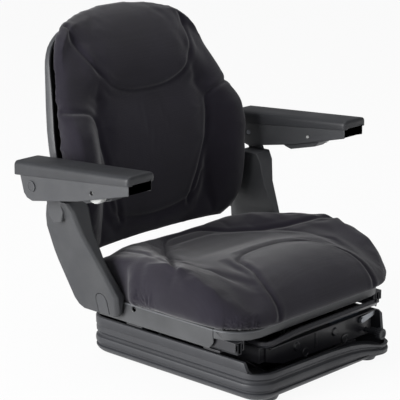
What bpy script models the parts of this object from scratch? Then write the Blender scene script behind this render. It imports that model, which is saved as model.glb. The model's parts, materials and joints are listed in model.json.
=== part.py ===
"""Tractor suspension seat: cushions on slide rails over a scissor suspension in a tub base.

Metres, +Z up. The occupant faces -Y, and -X is the occupant's right. The origin lies on the floor, in the
middle of the four mounting holes. The suspension is at its lowest, the slide in its middle and the armrests
are down.
"""

import math

import bmesh
import bpy
from mathutils import Matrix, Vector

# Clearances
SEAT_GAP = 0.0003
TURN_GAP = 0.0005
GLIDE_GAP = 0.001
CENTRE_PIN_GAP = 0.0008
GLAND_GAP = 0.0022

# Tub base
TUB_HALF_WIDTH = 0.200
TUB_REAR = 0.241
TUB_CORNER = 0.045
TUB_HEIGHT = 0.080
TUB_WALL = 0.003
TUB_FLOOR_INSET = 0.050
TUB_TURN_HEIGHT = 0.030
FOLD_HEIGHT, FOLD_DEPTH, FOLD_WIDTH = 0.040, 0.004, 0.009
CREASE_HEIGHT, CREASE_DEPTH, CREASE_WIDTH = 0.061, 0.0015, 0.004
TUB_EDGE = 0.003
LIP_HEIGHT, LIP_KNOB_HEIGHT, LIP_END_HEIGHT = 0.059, 0.030, 0.026
LIP_DEPTH = 0.036
FOOT_X, FOOT_SETBACK = TUB_HALF_WIDTH - 0.058, 0.031
FOOT_RADIUS, FOOT_TOP_RADIUS, FOOT_HEIGHT = 0.017, 0.030, 0.027

# Suspension frames
CHANNEL_OUTER_X = TUB_HALF_WIDTH - 0.060
CHANNEL_DEPTH = 0.028
CHANNEL_HEIGHT = 0.030
CHANNEL_WALL = 0.003
CHANNEL_REAR = 0.187
LOWER_CROSS_BAR, UPPER_CROSS_BAR = 0.005, 0.006
STROKE_GAP = 0.024
STRAP_WIDTH, STRAP_THICKNESS = 0.040, 0.0045
REAR_STRAP_Y = 0.105
MOUNT_HOLE_X, MOUNT_HOLE_Y, MOUNT_HOLE_RADIUS = CHANNEL_OUTER_X - CHANNEL_DEPTH / 2, 0.120, 0.0045

# Scissor arms
PIVOT_Y = CHANNEL_REAR - 0.022
ARM_LENGTH = 0.290
ARM_THICKNESS = 0.005
ARM_END_RADIUS, ARM_HALF_HEIGHT = 0.013, 0.011
OUTER_ARM_X = CHANNEL_OUTER_X - 0.0335
INNER_ARM_X = OUTER_ARM_X - ARM_THICKNESS - 0.003
ROD_RADIUS = 0.006
GLIDE_LENGTH = 0.016
TORSION_BAR_RADIUS, TORSION_BAR_SETBACK = 0.008, 0.030

# Fronts that follow from the arms' reach
CHANNEL_FRONT = PIVOT_Y - ARM_LENGTH - 0.020
TUB_FRONT = CHANNEL_FRONT - 0.054
FRONT_STRAP_Y = CHANNEL_FRONT + 0.055
PAN_FRONT = CHANNEL_FRONT - 0.018
CUSHION_FRONT = PAN_FRONT - 0.029

# Springs, spindle and knob
SPRING_X, SPRING_RADIUS, SPRING_WIRE, SPRING_TURNS = 0.050, 0.0075, 0.0015, 8
SPRING_Z = 0.046
ANCHOR_Y, ANCHOR_RADIUS = CHANNEL_FRONT + 0.037, 0.005
SPRING_BAR_Y, SPRING_BAR_RADIUS = PIVOT_Y - 0.037, 0.004
LUG_X, LUG_THICKNESS = SPRING_X + 0.016, 0.004
KNOB_X = TUB_HALF_WIDTH - 0.035
KNOB_FRONT, KNOB_REAR = CHANNEL_FRONT - 0.045, CHANNEL_FRONT - 0.017
KNOB_RADIUS, COLLAR_RADIUS = 0.011, 0.0085
SPINDLE_RADIUS = 0.004

# Damper
DAMPER_LOW_Y, DAMPER_LOW_Z = CHANNEL_FRONT + 0.063, 0.020
DAMPER_HIGH_Y, DAMPER_HIGH_Z = PIVOT_Y - 0.055, 0.066
DAMPER_TUBE_RADIUS, DAMPER_ROD_RADIUS = 0.011, 0.005
DAMPER_REACH = math.hypot(DAMPER_HIGH_Y - DAMPER_LOW_Y, DAMPER_HIGH_Z - DAMPER_LOW_Z)
DAMPER_TUBE_START, DAMPER_TUBE_END, DAMPER_ROD_END = 0.014, 0.63 * DAMPER_REACH, 0.47 * DAMPER_REACH
DAMPER_EYE_RADIUS, DAMPER_PIN_RADIUS = 0.009, 0.004
DAMPER_EYE_HALF, DAMPER_TAB = 0.008, 0.003

# Front panel and height lever
PANEL_LEFT, PANEL_RIGHT = 0.015 - CHANNEL_OUTER_X, KNOB_X + 0.017
PANEL_LOW, PANEL_HIGH = 0.036, 0.087
PANEL_THICKNESS, PANEL_FLANGE = 0.003, 0.012
BOSS_RADIUS, BOSS_HEIGHT = 0.009, 0.003
BOSS_LEFT_X, BOSS_RIGHT_X, BOSS_Z = -0.040, 0.070, 0.066
LEVER_PIVOT_X, LEVER_PIVOT_Z = KNOB_X - 0.017, 0.070
LEVER_TIP_X, LEVER_TIP_Z = KNOB_X + 0.019, 0.076
LEVER_THICKNESS, LEVER_PIN_RADIUS = 0.004, 0.003

# Seat pan
PAN_HALF_WIDTH = TUB_HALF_WIDTH + 0.016
PAN_REAR = 0.195
PAN_CORNER, PAN_REAR_CORNER = 0.060, 0.030
PAN_WALL = 0.003
PAN_WALL_HEIGHT = 0.0185
SKIRT_BOTTOM = 0.095
SKIRT_FRONT, SKIRT_REAR = PAN_FRONT + 0.060, PAN_REAR - 0.007
SKIRT_HOLE_Y, SKIRT_HOLE_Z, SKIRT_HOLE_RADIUS = 0.095, 0.125, 0.005

# Slide rails
RAIL_X = PAN_HALF_WIDTH - 0.018
RAIL_FRONT, RAIL_REAR = PAN_FRONT + 0.013, PAN_REAR - 0.005
LOWER_RAIL_HEIGHT = 0.0212
UPPER_RAIL_HALF = 0.012
UPPER_RAIL_SKIRT = 0.0153
RAIL_SHEET = 0.0025

# Slide handle
HANDLE_RADIUS = 0.006
HANDLE_LEFT_X, HANDLE_RIGHT_X = 0.066 - PAN_HALF_WIDTH, PAN_HALF_WIDTH - 0.051
HANDLE_PIVOT_Y, HANDLE_PIVOT_Z = PAN_FRONT + 0.068, 0.102
HANDLE_FRONT, HANDLE_BEND_Y = PAN_FRONT - 0.013, PAN_FRONT - 0.006
HANDLE_LOW_Z, HANDLE_HIGH_Z = 0.100, 0.110
HANDLE_SLOPE_X = HANDLE_LEFT_X + 0.080
HANDLE_TURN, HANDLE_RIGHT_SHIFT, HANDLE_RIGHT_RISE = 0.014, 0.006, 0.003
HANDLE_PIN_RADIUS, HANDLE_EYE_RADIUS, HANDLE_EYE_HALF = 0.003, 0.0065, 0.005
HANDLE_TAB = 0.003

# Cushion
CUSHION_HALF_WIDTH = PAN_HALF_WIDTH + 0.026
CUSHION_REAR = PAN_REAR + 0.010
CUSHION_CORNER = 0.100
CUSHION_EDGE_Z = 0.150
CUSHION_TOP_Z = 0.196
BOLSTER_HEIGHT, BOLSTER_WIDTH = 0.042, 0.045
BOLSTER_X = CUSHION_HALF_WIDTH - 0.042
DISH_DEPTH, THIGH_RISE, NOSE_DROP = 0.012, 0.017, 0.030
PANEL_SEAM_X, PANEL_SEAM_WIDTH = 0.135, 0.040
REAR_CORNER = 0.040
CUSHION_REAR_HALF = PAN_HALF_WIDTH - 0.0005
NECK_REAR, NECK_LENGTH = CUSHION_REAR - 0.093, 0.032
CUSHION_RIM_GAP = 0.003
CUSHION_CROWN = (
    (0.985, 0.45), (0.95, 0.18), (0.90, 0.04), (0.83, 0), (0.74, 0), (0.65, 0), (0.57, 0), (0.40, 0),
    (0.18, 0),
)

# Backrest
BACK_HALF_WIDTH = 0.241
BACK_BOTTOM, BACK_TOP = 0.207, 0.648
BACK_FOOT, BACK_WAIST = 0.055, 0.006
BACK_LEAN = 0.21
BACK_REAR_Y = 0.300
BACK_BUCKET = 0.045
BACK_TAPER, BACK_DOME, BACK_NARROWING = 0.210, 0.062, 0.056
NOTCH_DROP, NOTCH_DEPTH, NOTCH_WIDTH = 0.182, 0.007, 0.014
SHELL_WALL = 0.004
SHELL_STRIP = 0.026
FRAME_TUBE_RADIUS = 0.008
FRAME_LOW_Y, FRAME_LOW_Z, FRAME_HIGH_Z = 0.259, 0.285, 0.540
FRAME_DEPTH = 0.0195
FRAME_END_INSET = 0.022
FRAME_LOW_X, FRAME_HIGH_X = BACK_HALF_WIDTH - 0.056, BACK_HALF_WIDTH - 0.091

# Recline hinge and side brackets
RECLINE_Y, RECLINE_Z = 0.165, 0.122
RECLINER_RADIUS, RECLINER_THICKNESS = 0.020, 0.0030
RECLINE_STUB_RADIUS, RECLINE_STUB_LENGTH = 0.008, 0.007
BRACKET_INNER_X, BRACKET_UPPER_INNER_X = PAN_HALF_WIDTH + 0.004, BACK_HALF_WIDTH - 0.0025
BRACKET_OUTER_X, BRACKET_UPPER_OUTER_X = BRACKET_INNER_X + 0.012, BRACKET_UPPER_INNER_X + 0.0465
BRACKET_BOTTOM, BRACKET_TOP = 0.104, 0.321
ARMREST_LUG_X, ARMREST_LUG_THICKNESS, ARMREST_LUG_RADIUS = BRACKET_UPPER_OUTER_X - 0.004, 0.008, 0.015

COVER_Y, COVER_WIDTH, COVER_TOP = 0.157, 0.027, 0.147
COVER_THICKNESS, COVER_GAP = 0.003, 0.0008

# Armrests
ARMREST_INNER_X = BRACKET_UPPER_OUTER_X - 0.021
ARMREST_OUTER_X = ARMREST_INNER_X + 0.066
ARMREST_PIVOT_Y, ARMREST_PIVOT_Z = 0.245, 0.353
ARMREST_PIN_RADIUS = 0.005
ARMREST_WALL = 0.003
ARMREST_FRONT, ARMREST_REAR = -0.009, 0.290
ARMREST_FRONT_TOP, ARMREST_REAR_TOP = 0.415, 0.395
PAD_THICKNESS = 0.014
PAD_SKIRT_FRONT, PAD_SKIRT_REAR = 0.018, 0.027
ARMREST_CAP_RADIUS, ARMREST_CAP_HEIGHT = 0.0105, 0.002
HOUSING_FRONT, HOUSING_REAR, HOUSING_DEPTH = 0.060, 0.148, 0.009
HOUSING_INNER_X, HOUSING_OUTER_X = ARMREST_INNER_X + 0.0045, ARMREST_INNER_X + 0.034
WHEEL_Y, WHEEL_Z, WHEEL_RADIUS, WHEEL_HALF = 0.088, 0.368, 0.021, 0.0075
WHEEL_X = ARMREST_OUTER_X - 0.019
WHEEL_PIN_RADIUS = 0.003

# Worked-out levels
LOW_FRAME_Z = TUB_WALL + SEAT_GAP
LOW_PIVOT_Z = LOW_FRAME_Z + CHANNEL_HEIGHT / 2
HIGH_FRAME_Z = LOW_FRAME_Z + CHANNEL_HEIGHT + STROKE_GAP
HIGH_PIVOT_Z = HIGH_FRAME_Z + CHANNEL_HEIGHT / 2
GLIDE_RADIUS = CHANNEL_HEIGHT / 2 - CHANNEL_WALL - GLIDE_GAP
REST_RISE = HIGH_PIVOT_Z - LOW_PIVOT_Z
GLIDE_Y = PIVOT_Y - math.sqrt(ARM_LENGTH**2 - REST_RISE**2)
STRAP_TOP = HIGH_FRAME_Z + CHANNEL_HEIGHT + STRAP_THICKNESS - 0.0005
LOWER_RAIL_Z = STRAP_TOP + SEAT_GAP
UPPER_RAIL_TOP = LOWER_RAIL_Z + LOWER_RAIL_HEIGHT + SEAT_GAP + RAIL_SHEET
PAN_FLOOR_Z = UPPER_RAIL_TOP + SEAT_GAP
PAN_TOP = PAN_FLOOR_Z + PAN_WALL_HEIGHT
SKIRT_X = PAN_HALF_WIDTH + 0.0004
SIDES = (("left", 1), ("right", -1))


# Scene helpers

def clear_scene():
    """Removes the start-up objects and makes the collection that holds the seat."""
    for item in list(bpy.data.objects):
        bpy.data.objects.remove(item, do_unlink=True)
    collection = bpy.data.collections.new("suspension_seat")
    bpy.context.scene.collection.children.link(collection)
    return collection


SEAT = clear_scene()


def finish(name, colour, roughness, metallic=0.0):
    """Principled material with the base colour, roughness and metallic value of one finish."""
    material = bpy.data.materials.new(name)
    material.use_nodes = True
    shader = material.node_tree.nodes["Principled BSDF"]
    shader.inputs["Base Color"].default_value = (*colour, 1)
    shader.inputs["Roughness"].default_value = roughness
    shader.inputs["Metallic"].default_value = metallic
    material.diffuse_color = (*colour, 1)
    return material


TUB_PLASTIC = finish("tub_plastic", (0.045, 0.045, 0.050), 0.55)
BLACK_STEEL = finish("black_painted_steel", (0.020, 0.020, 0.022), 0.40)
BARE_STEEL = finish("zinc_plated_steel", (0.45, 0.46, 0.48), 0.35, 1.0)
PAN_STEEL = finish("satin_painted_steel", (0.060, 0.062, 0.066), 0.45)
COVER_PLASTIC = finish("grained_grey_plastic", (0.070, 0.072, 0.076), 0.60)
ARM_FOAM = finish("skinned_foam", (0.050, 0.050, 0.054), 0.55)
FABRIC = finish("charcoal_fabric", (0.022, 0.021, 0.026), 0.95)
GLIDE_NYLON = finish("white_nylon", (0.62, 0.62, 0.58), 0.50)
WHEEL_PLASTIC = finish("light_grey_plastic", (0.50, 0.50, 0.48), 0.50)


def as_object(name, mesh, material):
    """Turns a bmesh into an object of the seat, with smooth round faces and sharp folds."""
    data = bpy.data.meshes.new(name)
    mesh.to_mesh(data)
    mesh.free()
    data.materials.append(material)
    data.shade_smooth()
    data.set_sharp_from_angle(angle=math.radians(35))
    item = bpy.data.objects.new(name, data)
    SEAT.objects.link(item)
    return item


def applied(item):
    """Bakes an object's modifiers or curve into a closed mesh of its own, in world space."""
    bpy.context.view_layer.update()
    evaluated = item.evaluated_get(bpy.context.evaluated_depsgraph_get())
    data = bpy.data.meshes.new_from_object(evaluated)
    mesh = bmesh.new()
    mesh.from_mesh(data)
    mesh.transform(item.matrix_world)
    bmesh.ops.remove_doubles(mesh, verts=mesh.verts, dist=1e-6)
    bmesh.ops.recalc_face_normals(mesh, faces=mesh.faces)
    name, material = item.name, item.data.materials[0]
    bpy.data.objects.remove(item, do_unlink=True)
    bpy.data.meshes.remove(data)
    return as_object(name, mesh, material)


def combined(item, tools, operation):
    """Joins tools to an object, or cuts them from it, and removes the tools."""
    for tool in tools:
        boolean = item.modifiers.new(operation.title(), "BOOLEAN")
        boolean.operation = operation
        boolean.object = tool
    result = applied(item)
    for tool in tools:
        bpy.data.objects.remove(tool, do_unlink=True)
    return result


def welded(item, *pieces):
    """One body from pieces that overlap."""
    return combined(item, pieces, "UNION")


def cut(item, *cutters):
    """An object less its cutters."""
    return combined(item, cutters, "DIFFERENCE")


# Shape helpers

def block(name, low, high, material, bevel=0.0):
    """Box between two corners, with its edges rounded by bevel."""
    mesh = bmesh.new()
    size = [h - l for l, h in zip(low, high)]
    middle = [(h + l) / 2 for l, h in zip(low, high)]
    bmesh.ops.create_cube(mesh, size=1, matrix=Matrix.Translation(middle) @ Matrix.Diagonal((*size, 1)))
    if bevel:
        bmesh.ops.bevel(
            mesh, geom=list(mesh.edges), offset=bevel, segments=1, profile=0.5, affect="EDGES", material=-1
        )
    return as_object(name, mesh, material)


def rod(name, start, end, radius, material, sides=12, end_radius=None):
    """Round bar, or a taper, between two points."""
    start, end = Vector(start), Vector(end)
    turn = (end - start).to_track_quat("Z", "Y").to_matrix().to_4x4()
    mesh = bmesh.new()
    bmesh.ops.create_cone(
        mesh,
        cap_ends=True,
        segments=sides,
        radius1=radius,
        radius2=radius if end_radius is None else end_radius,
        depth=(end - start).length,
        matrix=Matrix.Translation((start + end) / 2) @ turn,
    )
    return as_object(name, mesh, material)


def turned(name, profile, base, direction, material, sides=16):
    """Turned solid: profile holds (radius, height) pairs from its foot to its head, on an axis from base."""
    data = bpy.data.meshes.new(name)
    points = [(radius, 0, height) for radius, height in reversed(profile)]
    data.from_pydata(points, [(i, i + 1) for i in range(len(points) - 1)], [])
    data.materials.append(material)
    item = bpy.data.objects.new(name, data)
    SEAT.objects.link(item)
    turn = Vector(direction).to_track_quat("Z", "Y").to_matrix().to_4x4()
    item.matrix_world = Matrix.Translation(base) @ turn
    screw = item.modifiers.new("Turn", "SCREW")
    screw.steps = screw.render_steps = sides
    screw.use_merge_vertices = True
    screw.merge_threshold = 1e-5
    return applied(item)


PLANE_AXES = {
    "X": Matrix(((0, 0, 1, 0), (1, 0, 0, 0), (0, 1, 0, 0), (0, 0, 0, 1))),
    "Y": Matrix(((1, 0, 0, 0), (0, 0, -1, 0), (0, 1, 0, 0), (0, 0, 0, 1))),
    "Z": Matrix.Identity(4),
}


def plate(name, outline, holes, axis, start, end, material):
    """Flat plate between two levels on an axis; outline and holes are loops in the plane across it."""
    curve = bpy.data.curves.new(name, "CURVE")
    curve.dimensions = "2D"
    curve.fill_mode = "BOTH"
    curve.extrude = abs(end - start) / 2
    curve.materials.append(material)
    for loop in (outline, *holes):
        spline = curve.splines.new("POLY")
        spline.points.add(len(loop) - 1)
        for point, (u, v) in zip(spline.points, loop):
            point.co = (u, v, 0, 1)
        spline.use_cyclic_u = True
    item = bpy.data.objects.new(name, curve)
    SEAT.objects.link(item)
    middle = (start + end) / 2
    offset = {"X": (middle, 0, 0), "Y": (0, middle, 0), "Z": (0, 0, middle)}[axis]
    item.matrix_world = Matrix.Translation(offset) @ PLANE_AXES[axis]
    return applied(item)


def bent_rod(name, points, radius, material, resolution=2):
    """Round bar along a route of points."""
    curve = bpy.data.curves.new(name, "CURVE")
    curve.dimensions = "3D"
    curve.bevel_depth = radius
    curve.bevel_resolution = resolution
    curve.use_fill_caps = True
    curve.materials.append(material)
    spline = curve.splines.new("POLY")
    spline.points.add(len(points) - 1)
    for point, place in zip(spline.points, points):
        point.co = (*place, 1)
    item = bpy.data.objects.new(name, curve)
    SEAT.objects.link(item)
    return applied(item)


def skin(name, rings, material):
    """Closed solid through a stack of loops with like points, capped at both ends."""
    mesh = bmesh.new()
    loops = [[mesh.verts.new(point) for point in ring] for ring in rings]
    for lower, upper in zip(loops, loops[1:]):
        for i in range(len(lower)):
            j = (i + 1) % len(lower)
            mesh.faces.new((lower[i], lower[j], upper[j], upper[i]))
    mesh.faces.new(loops[0][::-1])
    mesh.faces.new(loops[-1])
    bmesh.ops.recalc_face_normals(mesh, faces=mesh.faces)
    return as_object(name, mesh, material)


def arc(centre, radius, start, end, steps):
    """Points on an arc between two angles in degrees."""
    angles = [math.radians(start + (end - start) * i / steps) for i in range(steps + 1)]
    return [(centre[0] + radius * math.cos(a), centre[1] + radius * math.sin(a)) for a in angles]


def circle(centre, radius, sides=12):
    """Loop of points round a centre."""
    return arc(centre, radius, 0, 360, sides)[:-1]


def rounded_rectangle(half_x, front, rear, radius, steps=4, rear_radius=None):
    """Loop of points with round corners, from the front corner on +X anticlockwise."""
    back = radius if rear_radius is None else rear_radius
    return (
        arc((half_x - radius, front + radius), radius, -90, 0, steps)
        + arc((half_x - back, rear - back), back, 0, 90, steps)
        + arc((back - half_x, rear - back), back, 90, 180, steps)
        + arc((radius - half_x, front + radius), radius, 180, 270, steps)
    )


def link(start, end, start_radius, end_radius, steps=3):
    """Outline of a bar with round ends between two points of a plane."""
    angle = math.degrees(math.atan2(end[1] - start[1], end[0] - start[0]))
    return arc(start, start_radius, angle + 90, angle + 270, steps) + arc(
        end, end_radius, angle - 90, angle + 90, steps
    )


def filleted(points, radius, steps=3):
    """Route of points with each inner corner rounded off within radius of it."""
    points = [Vector(point) for point in points]
    route = [points[0]]
    for before, corner, after in zip(points, points[1:], points[2:]):
        start = corner + (before - corner).normalized() * radius
        end = corner + (after - corner).normalized() * radius
        for i in range(steps + 1):
            t = i / steps
            route.append(start * (1 - t) ** 2 + corner * 2 * t * (1 - t) + end * t**2)
    return route + [points[-1]]


def between(stations, place):
    """Value at a place among (place, value) stations, on straight lines between them."""
    if place <= stations[0][0]:
        return stations[0][1]
    for (start, low), (end, high) in zip(stations, stations[1:]):
        if place <= end:
            return low + (high - low) * (place - start) / (end - start)
    return stations[-1][1]


def smooth(start, end, place):
    """Rises smoothly from 0 at start to 1 at end."""
    t = min(max((place - start) / (end - start), 0), 1)
    return t * t * (3 - 2 * t)


# Tub base

def tub_sections():
    """(inset, height) pairs up the outside of the tub and down its inside."""
    turn = [math.radians(90 * i / 4) for i in range(5)]
    outside = [(TUB_FLOOR_INSET * (1 - math.sin(t)), TUB_TURN_HEIGHT * (1 - math.cos(t))) for t in turn]
    for height, depth, width in (
        (FOLD_HEIGHT, FOLD_DEPTH, FOLD_WIDTH),
        (CREASE_HEIGHT, CREASE_DEPTH, CREASE_WIDTH),
    ):
        outside += [(0, height), (depth, height + width / 3), (0, height + width)]
    outside += [(0, TUB_HEIGHT - TUB_EDGE), (TUB_EDGE, TUB_HEIGHT)]
    wall = TUB_WALL + FOLD_DEPTH
    inside = [(wall, TUB_HEIGHT), (wall, TUB_TURN_HEIGHT + TUB_WALL)]
    inner_inset = TUB_FLOOR_INSET - FOLD_DEPTH
    inside += [
        (wall + inner_inset * (1 - math.sin(t)), TUB_WALL + TUB_TURN_HEIGHT * (1 - math.cos(t)))
        for t in reversed(turn[:-1])
    ]
    return outside + inside


def base_tub():
    """Moulded tub with folds round its wall, a low lip in front and a foot under each corner."""
    def tub_ring(inset, height):
        corner = max(TUB_CORNER - inset, TUB_EDGE)
        loop = rounded_rectangle(TUB_HALF_WIDTH - inset, TUB_FRONT + inset, TUB_REAR - inset, corner, 3)
        return [(x, y, height) for x, y in loop]

    sections = tub_sections()
    inside = sections[-6:][::-1]
    tub = skin("base_tub", [tub_ring(*section) for section in sections], TUB_PLASTIC)
    room = [tub_ring(inset - TUB_WALL / 5, height - TUB_WALL / 5) for inset, height in inside]
    room[-1] = tub_ring(inside[-1][0] - TUB_WALL / 5, 1.2 * TUB_HEIGHT)
    feet = []
    for x in (-FOOT_X, FOOT_X):
        for y in (TUB_FRONT + FOOT_SETBACK, TUB_REAR - FOOT_SETBACK):
            foot = rod("foot", (x, y, 0), (x, y, FOOT_HEIGHT), FOOT_RADIUS, TUB_PLASTIC, 12, FOOT_TOP_RADIUS)
            feet.append(cut(foot, skin("room", room, TUB_PLASTIC)))
    tub = welded(tub, *feet)
    wide, high = TUB_HALF_WIDTH * 1.2, TUB_HEIGHT * 1.4
    lip = [(-wide, LIP_HEIGHT), (0, LIP_HEIGHT - 0.002), (KNOB_X * 0.5, LIP_HEIGHT - 0.007)]
    lip.append((KNOB_X - 3 * KNOB_RADIUS, (LIP_HEIGHT + LIP_KNOB_HEIGHT) / 2))
    lip.append((KNOB_X - KNOB_RADIUS, LIP_KNOB_HEIGHT))
    lip += [(TUB_HALF_WIDTH, LIP_END_HEIGHT), (wide, LIP_END_HEIGHT), (wide, high), (-wide, high)]
    opening = plate("lip", lip, (), "Y", TUB_FRONT - LIP_DEPTH, TUB_FRONT + LIP_DEPTH, TUB_PLASTIC)
    holes = [
        rod("hole", (x, y, -TUB_WALL), (x, y, 3 * TUB_WALL), MOUNT_HOLE_RADIUS, TUB_PLASTIC, 8)
        for x in (-MOUNT_HOLE_X, MOUNT_HOLE_X)
        for y in (-MOUNT_HOLE_Y, MOUNT_HOLE_Y)
    ]
    return cut(tub, opening, *holes)


# Suspension

def channel(name, side, bottom, holes=()):
    """Side channel open towards the middle, with round holes through its web at (y, z, radius)."""
    inner = CHANNEL_OUTER_X - CHANNEL_DEPTH
    web = CHANNEL_OUTER_X - CHANNEL_WALL
    top = bottom + CHANNEL_HEIGHT
    section = [
        (side * x, z)
        for x, z in (
            (inner, bottom),
            (CHANNEL_OUTER_X, bottom),
            (CHANNEL_OUTER_X, top),
            (inner, top),
            (inner, top - CHANNEL_WALL),
            (web, top - CHANNEL_WALL),
            (web, bottom + CHANNEL_WALL),
            (inner, bottom + CHANNEL_WALL),
        )
    ]
    item = plate(name, section, (), "Y", CHANNEL_FRONT, CHANNEL_REAR, BLACK_STEEL)
    start, end = side * (web - 0.002), side * (CHANNEL_OUTER_X + 0.002)
    drills = [rod("drill", (start, y, z), (end, y, z), radius, BLACK_STEEL) for y, z, radius in holes]
    return cut(item, *drills) if drills else item


def cross_bars(bottom, thickness):
    """Front and rear bars that tie two channels together."""
    reach = CHANNEL_OUTER_X - CHANNEL_WALL / 2
    low, high = bottom + 0.001, bottom + CHANNEL_HEIGHT - 0.001
    return [
        block("bar", (-reach, start, low), (reach, start + thickness, high), BLACK_STEEL)
        for start in (CHANNEL_FRONT + 0.0005, CHANNEL_REAR - thickness - 0.0005)
    ]


def damper_tabs(y, z, foot):
    """Two tabs that hold a damper eye, on a plate at the height foot."""
    inner = DAMPER_EYE_HALF + TURN_GAP
    away = -1 if foot > z else 1
    tabs = []
    for side in (1, -1):
        radius = DAMPER_EYE_RADIUS - 0.001
        outline = [(y - radius, foot), (y + radius, foot)]
        outline += arc((y, z), radius, 0, away * 180, 4)
        bore = circle((y, z), DAMPER_PIN_RADIUS + SEAT_GAP, 10)
        ends = (side * inner, side * (inner + DAMPER_TAB))
        tabs.append(plate("tab", outline, (bore,), "X", min(ends), max(ends), BLACK_STEEL))
    return tabs


def lower_frame():
    """Welded frame on the tub's floor: two channels, their cross bars and the damper's lower bracket."""
    pivot = (PIVOT_Y, LOW_PIVOT_Z, ROD_RADIUS + SEAT_GAP)
    frame = channel("lower_frame", 1, LOW_FRAME_Z, (pivot,))
    pieces = [*cross_bars(LOW_FRAME_Z, LOWER_CROSS_BAR), channel("channel", -1, LOW_FRAME_Z, (pivot,))]
    reach = CHANNEL_OUTER_X - CHANNEL_DEPTH / 2
    strap_low = LOW_FRAME_Z + 0.0002
    strap_high = LOW_FRAME_Z + CHANNEL_WALL - 0.0002
    half = DAMPER_EYE_RADIUS
    pieces.append(
        block(
            "strap",
            (-reach, DAMPER_LOW_Y - half, strap_low),
            (reach, DAMPER_LOW_Y + half, strap_high),
            BLACK_STEEL,
        )
    )
    pieces += damper_tabs(DAMPER_LOW_Y, DAMPER_LOW_Z, strap_high - 0.001)
    frame = welded(frame, *pieces)
    low, high = LOW_FRAME_Z - 0.002, LOW_FRAME_Z + 0.005
    holes = [
        rod("hole", (x, y, low), (x, y, high), MOUNT_HOLE_RADIUS, BLACK_STEEL, 8)
        for x in (-MOUNT_HOLE_X, MOUNT_HOLE_X)
        for y in (-MOUNT_HOLE_Y, MOUNT_HOLE_Y)
    ]
    return cut(frame, *holes)


def upper_frame():
    """Welded frame on the scissor: channels, cross bars, rail straps and the damper's upper bracket."""
    pivot = (PIVOT_Y, HIGH_PIVOT_Z, ROD_RADIUS + SEAT_GAP)
    frame = channel("upper_frame", 1, HIGH_FRAME_Z, (pivot,))
    pieces = [*cross_bars(HIGH_FRAME_Z, UPPER_CROSS_BAR), channel("channel", -1, HIGH_FRAME_Z, (pivot,))]
    reach = RAIL_X + UPPER_RAIL_HALF - 0.004
    for y in (FRONT_STRAP_Y, REAR_STRAP_Y):
        low = (-reach, y - STRAP_WIDTH / 2, STRAP_TOP - STRAP_THICKNESS)
        high = (reach, y + STRAP_WIDTH / 2, STRAP_TOP)
        pieces.append(block("strap", low, high, BLACK_STEEL))
    pieces += damper_tabs(DAMPER_HIGH_Y, DAMPER_HIGH_Z, STRAP_TOP - STRAP_THICKNESS / 2)
    return welded(frame, *pieces)


def arm_points(outer):
    """Rear pivot and front glide of an arm, in the plane across X."""
    low, high = (LOW_PIVOT_Z, HIGH_PIVOT_Z) if outer else (HIGH_PIVOT_Z, LOW_PIVOT_Z)
    return (PIVOT_Y, low), (GLIDE_Y, high)


def scissor_arms(name, outer):
    """Pair of flat arms welded to a torsion bar, bored for the pivot rod, centre pins and glide rod."""
    rear, front = (Vector(point) for point in arm_points(outer))
    middle = (rear + front) / 2
    bar = rear + (front - rear).normalized() * TORSION_BAR_SETBACK
    centre_gap = SEAT_GAP if outer else CENTRE_PIN_GAP
    holes = (
        circle(rear, ROD_RADIUS + SEAT_GAP),
        circle(front, ROD_RADIUS + SEAT_GAP),
        circle(middle, ROD_RADIUS + centre_gap),
    )
    half = ARM_THICKNESS / 2
    arm_x = OUTER_ARM_X if outer else INNER_ARM_X
    outline = link(rear, front, ARM_END_RADIUS, ARM_HALF_HEIGHT)
    arms = [plate("arm", outline, holes, "X", x - half, x + half, BLACK_STEEL) for x in (-arm_x, arm_x)]
    reach = arm_x
    torsion_bar = rod(name, (-reach, *bar), (reach, *bar), TORSION_BAR_RADIUS, BLACK_STEEL, 12)
    if outer:
        return welded(torsion_bar, *arms)
    hook_ends = (-LUG_X, SPRING_BAR_Y, SPRING_Z), (LUG_X, SPRING_BAR_Y, SPRING_Z)
    hook_bar = rod("hook_bar", *hook_ends, SPRING_BAR_RADIUS, BLACK_STEEL, 10)
    lug = link(bar, (SPRING_BAR_Y, SPRING_Z), TORSION_BAR_RADIUS * 0.8, SPRING_BAR_RADIUS * 1.6, 4)
    half = LUG_THICKNESS / 2
    lugs = [plate("lug", lug, (), "X", x - half, x + half, BLACK_STEEL) for x in (-LUG_X, LUG_X)]
    return welded(torsion_bar, *arms, *lugs, hook_bar)


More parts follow.
